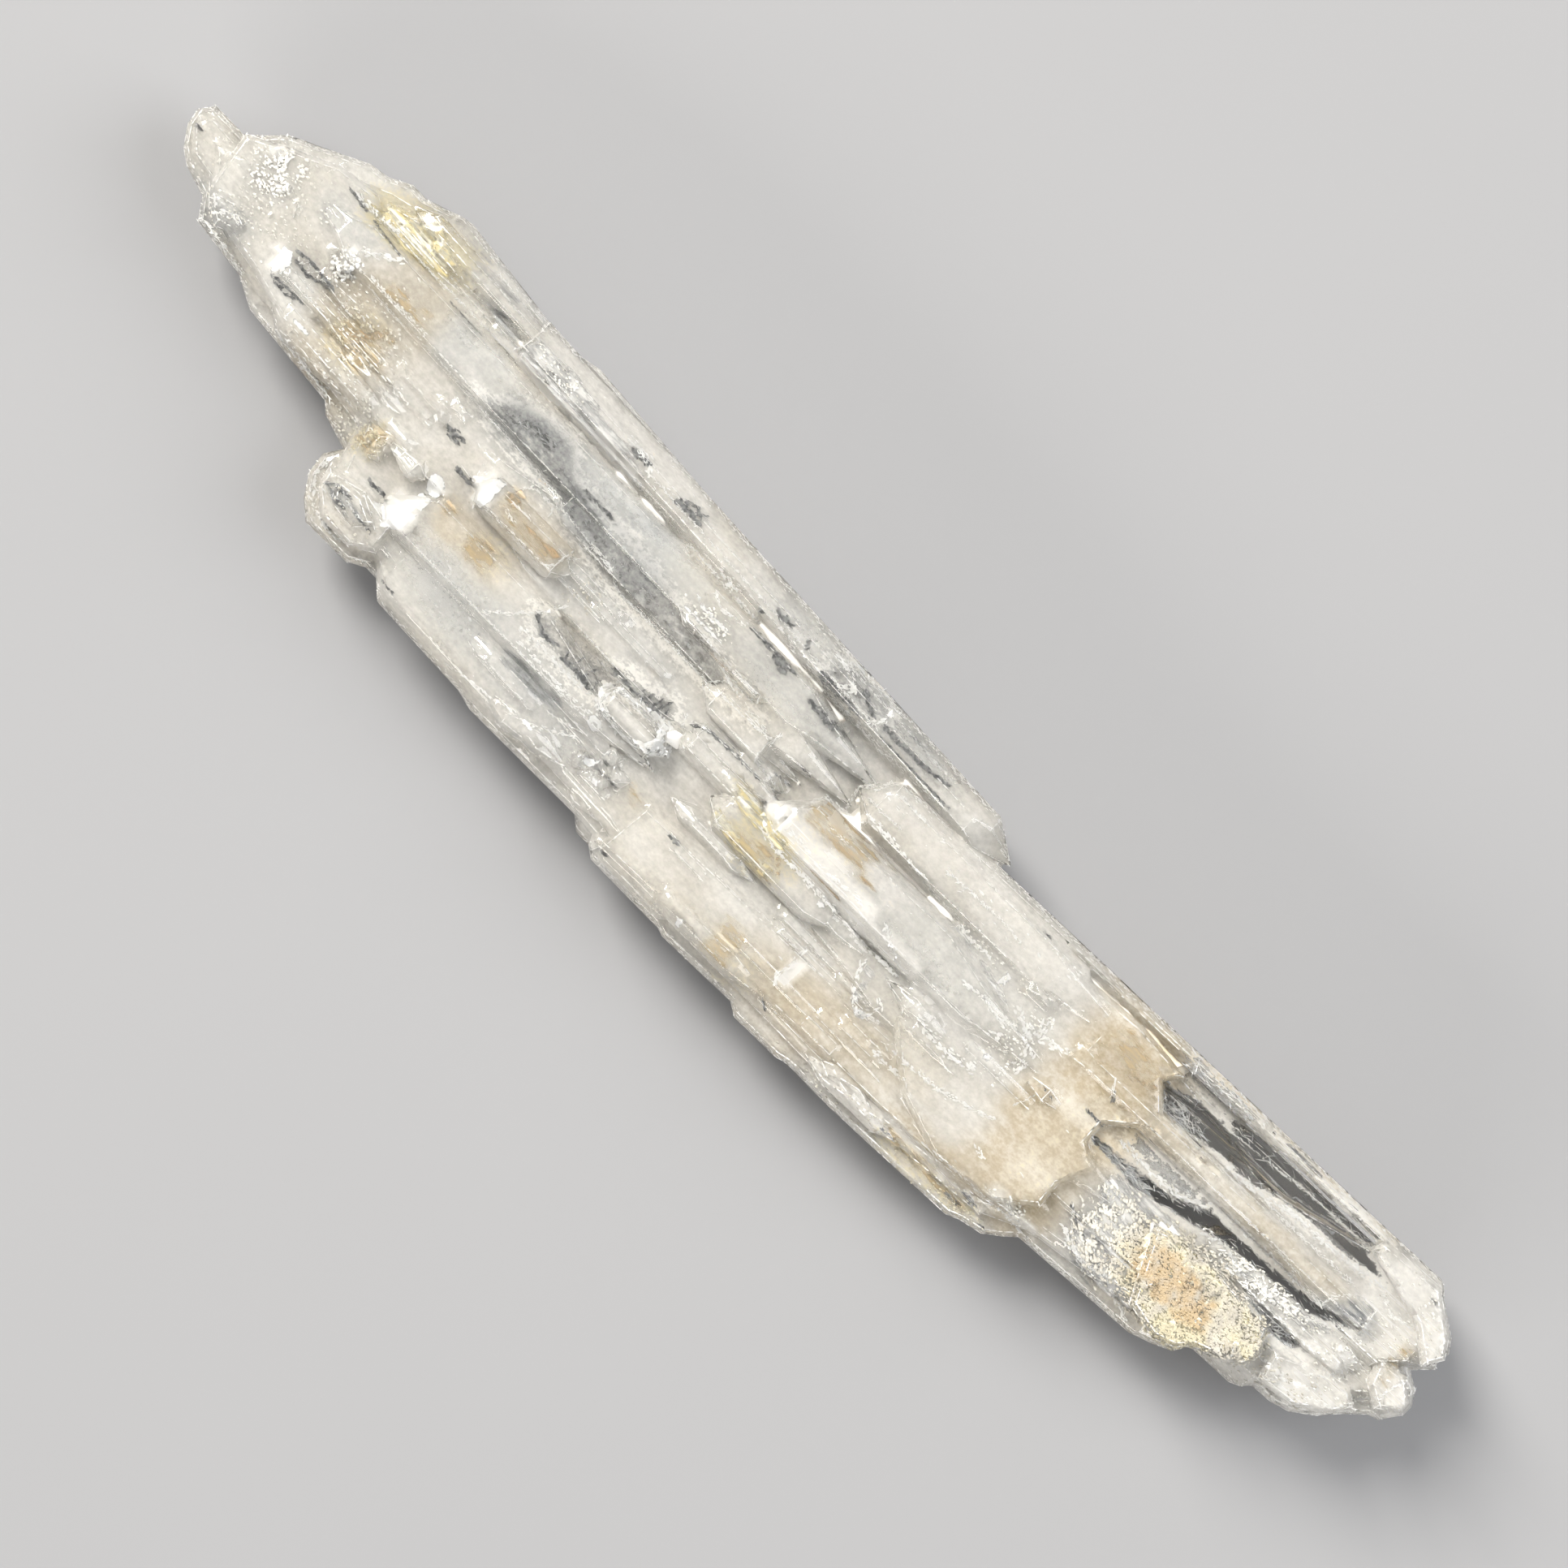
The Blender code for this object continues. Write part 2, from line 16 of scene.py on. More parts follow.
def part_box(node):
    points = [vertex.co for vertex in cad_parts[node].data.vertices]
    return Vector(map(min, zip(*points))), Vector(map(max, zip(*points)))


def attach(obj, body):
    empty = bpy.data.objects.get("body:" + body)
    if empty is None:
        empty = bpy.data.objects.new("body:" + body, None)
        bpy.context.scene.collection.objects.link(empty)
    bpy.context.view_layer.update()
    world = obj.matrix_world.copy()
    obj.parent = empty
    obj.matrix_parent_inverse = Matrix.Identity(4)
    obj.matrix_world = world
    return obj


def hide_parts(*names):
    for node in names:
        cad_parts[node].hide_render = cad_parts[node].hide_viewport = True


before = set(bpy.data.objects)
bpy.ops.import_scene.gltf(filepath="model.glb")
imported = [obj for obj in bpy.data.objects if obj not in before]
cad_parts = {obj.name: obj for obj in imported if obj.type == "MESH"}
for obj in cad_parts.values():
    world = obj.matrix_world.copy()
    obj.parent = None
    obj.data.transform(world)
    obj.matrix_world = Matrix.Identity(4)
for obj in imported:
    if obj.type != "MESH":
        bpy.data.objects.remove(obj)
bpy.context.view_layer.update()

bl_info = {
    "name": "Faden Quartz",
    "version": (1, 0, 0),
    "blender": (4, 5, 0),
    "location": "3D View > Sidebar > Quartz",
    "description": "Gives a packed quartz cluster its skin, milk, veils, stains and crust",
    "category": "Object",
}

MM = 0.001
CLUSTER = "quartz_cluster"
BODY = "root"
LOW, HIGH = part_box(CLUSTER)
LEFT_END, MIDDLE = LOW[0], (LOW[1] + HIGH[1]) / 2
LENGTH, THICKNESS = (HIGH[0] - LOW[0]) / MM, (HIGH[2] - LOW[2]) / MM  # millimetres
DOWN = Vector((0, 0, -1))
SEED = 5

FAN_AT_LEFT, FAN_AT_RIGHT = -0.045, 0.07  # slope of the crystals' long axes at the two ends
MERGE_GAP = 1e-7  # metres between corners that become one
COPLANAR = math.radians(0.5)  # faces that meet more flatly than this become one
CUT_SHIFT = 0.37  # share of a cell by which the cuts are moved off the solid's own edges
SMOOTH_ANGLE = math.radians(24)  # faces that meet more flatly than this shade as one
GROWTH_RELIEF = 0.006 * MM  # depth of the lengthwise ripple that all the skin has
FOOT = 0.02 * MM  # the lowest part of the skin, which takes no relief
PATCH_WAVER, WINDOW_WAVER, CRUST_WAVER = 0.22, 0.05, 0.1  # how far a rim wanders, in millimetres
WAVER_SIZE = 0.9 * MM
FLARE = 0.45  # millimetres by which a window is wider below, so that it is clear at a slant too
HEART_MARGIN = -0.05  # the heart stays this many millimetres back from a window
HEART_CELL, HEART_WALL = 0.2 * MM, 0.06 * MM
HAZIEST_OPENING = 0.5  # windows hazier than this have the heart behind them
VEIN_STEP, SHADED_SLIT_STEP = 0.03, 0.018  # millimetres along a vein or a slit of painted shade for each of its splinters
SHADED_SLIT_BOLDNESS = 1.5
SPLINTER_DEPTH = 0.02 * MM
STEEPEST_VEIN = 0.15  # no splinters where the normal leans further than this height
EDGE_STEP = 0.13 * MM  # along a bruised edge for each of its splinters
SHORTEST_EDGE, FLATTEST_EDGE = 0.35 * MM, math.radians(22)
LOWEST_EDGE = -0.3  # an edge whose normal points lower than this isn't bruised
# White splinters of painted rim light along the outline.
RIM_LIGHT_SPLINTERS = 2600
RIM_STEP, PROBE_STEP = 0.05, 0.04  # millimetres along and inwards in the search for the rim
OUTSIDE = 5.1  # millimetres from the middle, just off the solid
THINNEST = 0.3 * MM  # nothing is buried where the solid is thinner than this
THICKET_SHARE, BRIGHT_SHARE = 0.6, 0.35  # of the needles in thickets, and of the flecks in bright patches
SHEET_CELL, SHEET_THICKNESS = 0.15 * MM, 0.015 * MM
FILM_DEPTH, HIGHLIT_FACE_DEPTH = 0.03 * MM, 0.05 * MM
STEEPEST_SHEET = 0.3  # a sheet is cut away where its normal leans further than this height
QUARTZ_IOR = 1.544
WHITEST = (1.0, 0.98, 0.94)
CRUST_LOW, CRUST_HIGH, CRUST_WHITE = (0.42, 0.39, 0.33), (0.56, 0.535, 0.47), (0.8, 0.79, 0.75)
CRUST_STAIN = 0.62  # stain on the crust is darker than elsewhere by this factor, as it lies on top
CROWDED_SHARE = 4  # a crust bed with a larger share than this has no bare places
HEADROOM = 0.02 * MM  # crust crystals stay this far below the top
FLOOR_GAP = 0.02 * MM


def along_of(x):
    """Millimetres from the knob end, for a place or an array of places."""
    return (x - LEFT_END) / MM


def across_of(y):
    """Millimetres from the middle of the width."""
    return (y - MIDDLE) / MM


def spot(along, across, up):
    """The place at these millimetres along, across and above the floor."""
    return Vector((LEFT_END + along * MM, MIDDLE + across * MM, LOW[2] + up * MM))


def fan_rise(along):
    """How far a crystal's middle line has climbed by this far along, in millimetres."""
    return FAN_AT_LEFT * along + (FAN_AT_RIGHT - FAN_AT_LEFT) * along * along / (2 * LENGTH)


def fan_direction(along, swing=0.0):
    """The way the crystals run here, swung sideways by this many radians."""
    slope = FAN_AT_LEFT + (FAN_AT_RIGHT - FAN_AT_LEFT) * along / LENGTH
    angle = math.atan(slope) + swing
    return Vector((math.cos(angle), math.sin(angle), 0.0))


# ---------------------------------------------------------------- what lies where


class Patch(NamedTuple):
    """An oblong patch seen from above: its middle, its reach each way and how boldly it shows."""

    along: float
    across: float
    reach: float
    breadth: float
    strength: float = 1.0
    turn: float = 0.0  # degrees


class Window(NamedTuple):
    """A gap in the milk: its outline, the haze left in it, and how many needles fringe its rim."""

    outline: tuple
    haze: float
    fringe: float


class Vein(NamedTuple):
    """A line of splinters under the skin: its breadth and its route, both in millimetres."""

    breadth: float
    route: tuple


class CrustBed(NamedTuple):
    """A bed of tiny crystals: where, their largest length, their share, how upright and how white."""

    patch: Patch
    largest: float  # millimetres
    share: float
    upright: float
    white: float = 0.1


def pairs(numbers):
    """Points from a run of numbers in millimetres: along and across in turn."""
    return tuple(zip(numbers[::2], numbers[1::2]))


def patches(*rows):
    return [Patch(*row) for row in rows]


def outlines(*rows):
    return [pairs(row) for row in rows]


def veins(*rows):
    """Veins from rows of a breadth and the points of a route."""
    return [Vein(row[0], pairs(row[1:])) for row in rows]


WINDOWS = [Window(pairs(row[2:]), *row[:2]) for row in (
    # Long windows at the right, between straight crystal edges.
    (0.02, 0.25, 40.4, 3.05, 42.07, 3.45, 45.72, 3.79, 45.82, 3.36, 43.44, 3.17, 41.15, 2.9),
    (
        0.05, 0.25, 38.45, 2.4, 39.37, 2.74, 41.04, 2.76, 42.3, 3.04, 45.5, 3.29, 46.75, 3.06, 45.5, 2.78,
        43.44, 2.58, 42.3, 2.28, 40.92, 2.12, 39.37, 1.82, 38.98, 1.92,
    ),
    (
        0, 1, 38.07, -0.03, 40.12, 0.25, 41.04, 0.34, 41.5, 0.66, 42.07, 0.89, 44.81, 1.07, 45.95, 1.21,
        47.23, 1.78, 46.91, 1.34, 45.95, 0.93, 44.81, 0.77, 42.98, 0.57, 41.95, 0.25, 41.15, 0.02, 39.89,
        -0.21, 38.23, -0.16,
    ),
    (0, 1, 44.24, -0.03, 46.82, 0.15, 46, -0.25, 45.54, -0.32),
    (0.25, 1, 38.93, 0.86, 41.88, 0.96, 41.15, 0.7, 40.35, 0.52, 39, 0.59),
    (0.3, 1, 38.64, 3.4, 40.24, 3.58, 41.04, 3.47, 40.12, 3.17, 38.91, 3.08),
    # Hazy windows in the middle.
    (
        0.4, 1, 11.43, 1.71, 12.35, 2.37, 13.26, 2.76, 14.29, 2.72, 14.97, 2.12, 16.8, 1.98, 18.29, 1.94,
        19.43, 1.76, 20.69, 1.66, 22.06, 1.34, 23.32, 1.16, 21.72, 0.93, 17.6, 0.82, 15.78, 1.21, 14.63,
        1.53,
    ),
    (
        0.4, 1, 19.4, -0.8, 19.8, -0.55, 20.4, -0.5, 20.9, -0.3, 21.3, -0.2, 21.65, -0.45, 21.6, -0.62, 21,
        -0.75, 20.6, -0.85,
    ),
    (
        0.49, 1, 16.9, -1.15, 17.3, -0.95, 18.3, -0.95, 19, -0.9, 19.8, -0.9, 19.6, -1.2, 19.8, -1.6, 18.6,
        -1.62, 17.3, -1.6,
    ),
    # A ragged opening in the long blade.
    (0.4, 1, 23.55, 3.81, 24.23, 4.18, 25.49, 4.22, 25.83, 3.86, 25.15, 3.45, 23.78, 3.4),
)]

# Where needles and jagged plates crowd a window's end: the patch, and its share of the needles.
THICKETS = patches(
    (39.7, 3.25, 1.2, 0.25, 1), (39.6, 2, 0.8, 0.35, 0.7), (40.3, 0.7, 1.4, 0.2, 2.4),
    (39.4, -0.05, 1.2, 0.18, 2), (13.6, 2.3, 1.3, 0.5, 0.6), (18.6, 1.5, 3.4, 0.45, 1),
    (20.6, -0.6, 1.1, 0.3, 0.8), (18.2, -1.25, 1.5, 0.35, 1), (5.8, 0.9, 0.9, 0.22, 0.6),
    (5.7, 0, 0.7, 0.15, 0.4), (11.1, -2.9, 1.1, 0.35, 0.7), (25, 3.8, 1.3, 0.35, 0.7),
    (17.8, 3.95, 0.7, 0.3, 0.3), (10.3, 3.6, 1.1, 0.3, 0.4), (45.9, -0.1, 1.3, 0.25, 0.4),
    (39.8, -2.1, 1.2, 0.3, 0.5),
)

# Thin cloud over deep quartz, which looks cool and a little grey.
COOL_PATCHES = patches(
    (24.5, 3.8, 4, 0.45, 0.4), (10.4, 4.1, 2, 0.9, 0.15), (9.6, 2.4, 2.4, 0.6, 0.5),
    (2.6, 0.2, 1.2, 0.5, 0.5), (18, 0.2, 3.6, 0.5, 0.3), (17.5, -2.6, 4.5, 1, 0.5), (15.5, 2, 4, 1, 0.65),
    (24, 2.4, 3.2, 0.6, 0.4), (5.5, 2.5, 1.3, 0.4, 0.5), (31, 0, 2.6, 1.3, 0.35),
    (40.4, -1.8, 1, 1, 0.45, -30), (46.5, 1.3, 1.3, 0.5, 0.7, 30),
)

# Frosted faces and crushed spots that shine white; where facets glare, the white is partly a painted highlight.
BRIGHT_PATCHES = patches(
    (4.9, 0.42, 0.28, 0.4), (6.2, 1.8, 0.3, 0.32), (2.7, 2.45, 0.16, 0.26), (3.2, 1.9, 0.5, 0.7, 0.4),
    (12.45, -0.85, 0.32, 0.35), (12.2, -1.95, 0.5, 0.62), (13.5, 0.12, 0.34, 0.5), (11.9, 3.35, 1.4, 0.14),
    (25.6, -0.15, 0.28, 0.36), (26.9, 0.8, 0.45, 0.25), (20.6, -1.35, 1.2, 0.14, 0.8),
    (21.7, -2, 0.4, 0.3, 0.7), (29.05, -2.9, 0.14, 0.65), (33.3, 1.1, 0.16, 0.28, 0.7),
    (34.5, -0.7, 0.3, 0.2, 0.7), (38.2, -3.1, 1, 0.16, 0.8), (42.6, 2.15, 2.2, 0.2, 0.6, 3),
    (41.2, -1.3, 0.6, 0.4, 0.7, 30), (44.9, 0.2, 1.2, 0.14, 0.7, 4), (48, 1.2, 1.8, 3.4, 0.79),
    (48.6, 2.6, 0.8, 0.9, 0.86), (47.6, -0.7, 1.2, 0.7, 0.84, 20), (49.3, 1, 0.6, 0.8, 0.84),
    (45.5, 0.55, 2, 0.35, 0.6, 8), (42.4, -1.3, 3.4, 1.6, 0.55), (47.3, -0.9, 1.4, 0.6, 0.7, 20),
    (15, 4.1, 3.6, 0.45, 0.65, -2), (19.5, 3.6, 4, 0.3, 0.35, -2), (14.5, 3.42, 1.9, 0.18, 1),
    (27.6, -0.35, 2.2, 0.55, 0.86), (29.5, 2.5, 3, 0.6, 0.5), (33.5, 2.3, 2.4, 0.8, 0.35),
    (30.4, -0.6, 1.2, 0.35, 0.8), (27.8, 0.7, 1.9, 0.5, 0.62), (34.5, -4.25, 3.5, 0.5, 0.78, 3),
    (8.3, 0.5, 1.6, 1.2, 0.2), (33.5, -0.9, 1.8, 0.5, 0.4), (11, -3.3, 1.4, 0.8, 0.55),
    (20, -3, 2.2, 0.8, 0.25),
)

# Creamy matt growth, strongest in the band that crosses the whole width.
CREAM_PATCHES = patches(
    (37.4, -0.1, 1.7, 4.2, 1, 4), (35.2, -4, 2.6, 0.8, 0.9, 3), (31, -3.6, 3, 1.2, 0.5, 2),
    (8, 0.4, 1.4, 2.2, 0.6), (15.1, 0.3, 1.3, 0.6, 0.6), (14.3, -1.1, 1.3, 0.6, 0.45),
    (8.2, 2.4, 1.2, 0.8, 0.45), (42.9, -1.5, 1.9, 1.3, 0.7), (48.6, 1.4, 0.9, 2, 0.5),
    (11, -3.3, 1.2, 0.8, 0.5), (41, 3.85, 6, 0.2, 0.7, 4), (41.5, 1.55, 5, 0.3, 0.6, 3.5),
)

YELLOW_PATCHES = patches(
    (7.2, 3.8, 1.8, 0.8, 1.4, 8), (7.9, 0.5, 0.8, 1, 0.7), (10.2, -1.2, 0.45, 0.75, 0.8),
    (26, -1.2, 1.3, 0.85, 0.8), (24.6, -0.4, 0.7, 0.25, 0.8), (27.4, 0.2, 1.8, 0.5, 0.4),
    (43.7, -2.2, 0.9, 0.7, 0.9), (42.6, -1.3, 2, 1.3, 0.55), (44.9, -0.8, 1, 0.7, 0.5),
    (35.8, -4.3, 2.2, 0.5, 0.6, 3), (27.8, -4, 1, 0.8, 0.5), (14.8, -0.9, 0.9, 0.7, 0.5),
    (37.8, -1, 1.2, 2.6, 0.4),
)

RUST_PATCHES = patches(
    (13.2, -1, 0.3, 0.5, 0.6), (14.6, -1.15, 0.4, 0.45, 0.6), (42.7, -1.3, 1.5, 0.7, 0.85),
    (48.6, 1.5, 0.4, 0.7, 0.3), (8.2, 0.2, 0.5, 0.5, 0.6), (22.5, -2.8, 0.4, 0.4, 0.35),
)

# Where the skin is etched and rough instead of glossy.
ROUGH_PATCHES = patches(
    (2, 1.6, 2.6, 2.6, 0.45), (37.4, -0.2, 1.6, 4, 0.5, 4), (42.9, -1.5, 1.9, 1.3, 1),
    (48.3, 1.2, 1.5, 3, 0.6), (34, -4.2, 5, 0.6, 0.7, 3), (11, -3.2, 1.3, 1, 0.5), (8, 0.2, 1.6, 1.8, 0.5),
    (7.1, 3.8, 1.7, 0.7, 0.6, 8),
)

CRUST_BEDS = [CrustBed(Patch(*row[:4], turn=row[4]), *row[5:]) for row in (
    (43, -1.3, 2.1, 1.3, 0, 0.2, 9, 0.05, 0), (44.9, -0.9, 0.9, 0.7, 0, 0.18, 2.2, 0.05, 0.05),
    (40.7, -1.6, 1.4, 1.1, -30, 0.2, 2.6, 0, 0.25), (48.2, 1.2, 1.5, 2.8, 0, 0.12, 1.8, 0.1, 0.8),
    (44.6, 0.5, 1.8, 0.3, 6, 0.16, 1.2, 0.05, 0.8), (46.6, -1.2, 1.4, 0.6, 15, 0.12, 0.5, 0.1),
    (3.1, 2.1, 0.7, 0.8, 0, 0.17, 0.7, 0.2, 0.9), (2.8, 1.4, 2.2, 1.6, 0, 0.12, 1.9, 0.1, 0.7),
    (34.5, -4.3, 4.2, 0.4, 4, 0.12, 0.9, 0.1), (8.2, 0.3, 1.6, 1.8, 0, 0.13, 1.4, 0.1, 0.5),
    (6.3, 1.7, 0.4, 0.6, 0, 0.2, 0.4, 0.3, 1), (7.1, 3.8, 1.3, 0.5, 8, 0.1, 0.6, 0.1),
    (9.6, -1.2, 0.9, 0.6, 0, 0.13, 0.5, 0.1), (11.2, -3.4, 1.3, 0.7, 0, 0.12, 0.5, 0.1),
    (14.3, -0.9, 1.3, 0.7, 0, 0.09, 0.3, 0), (17.6, 0, 0.5, 0.9, 0, 0.12, 0.3, 0),
    (34.8, 0.2, 0.6, 1.4, 0, 0.12, 0.5, 0, 0.9), (20.4, 2.2, 0.8, 0.25, 0, 0.14, 0.25, 0, 0.9),
    (12.5, 3.8, 1.2, 0.35, 0, 0.12, 0.4, 0, 0.9), (32.8, 1.4, 1.5, 0.25, 0, 0.12, 0.35, 0, 0.9),
    (38, -3.1, 0.8, 0.25, 0, 0.14, 0.25, 0.1, 0.9),
)]

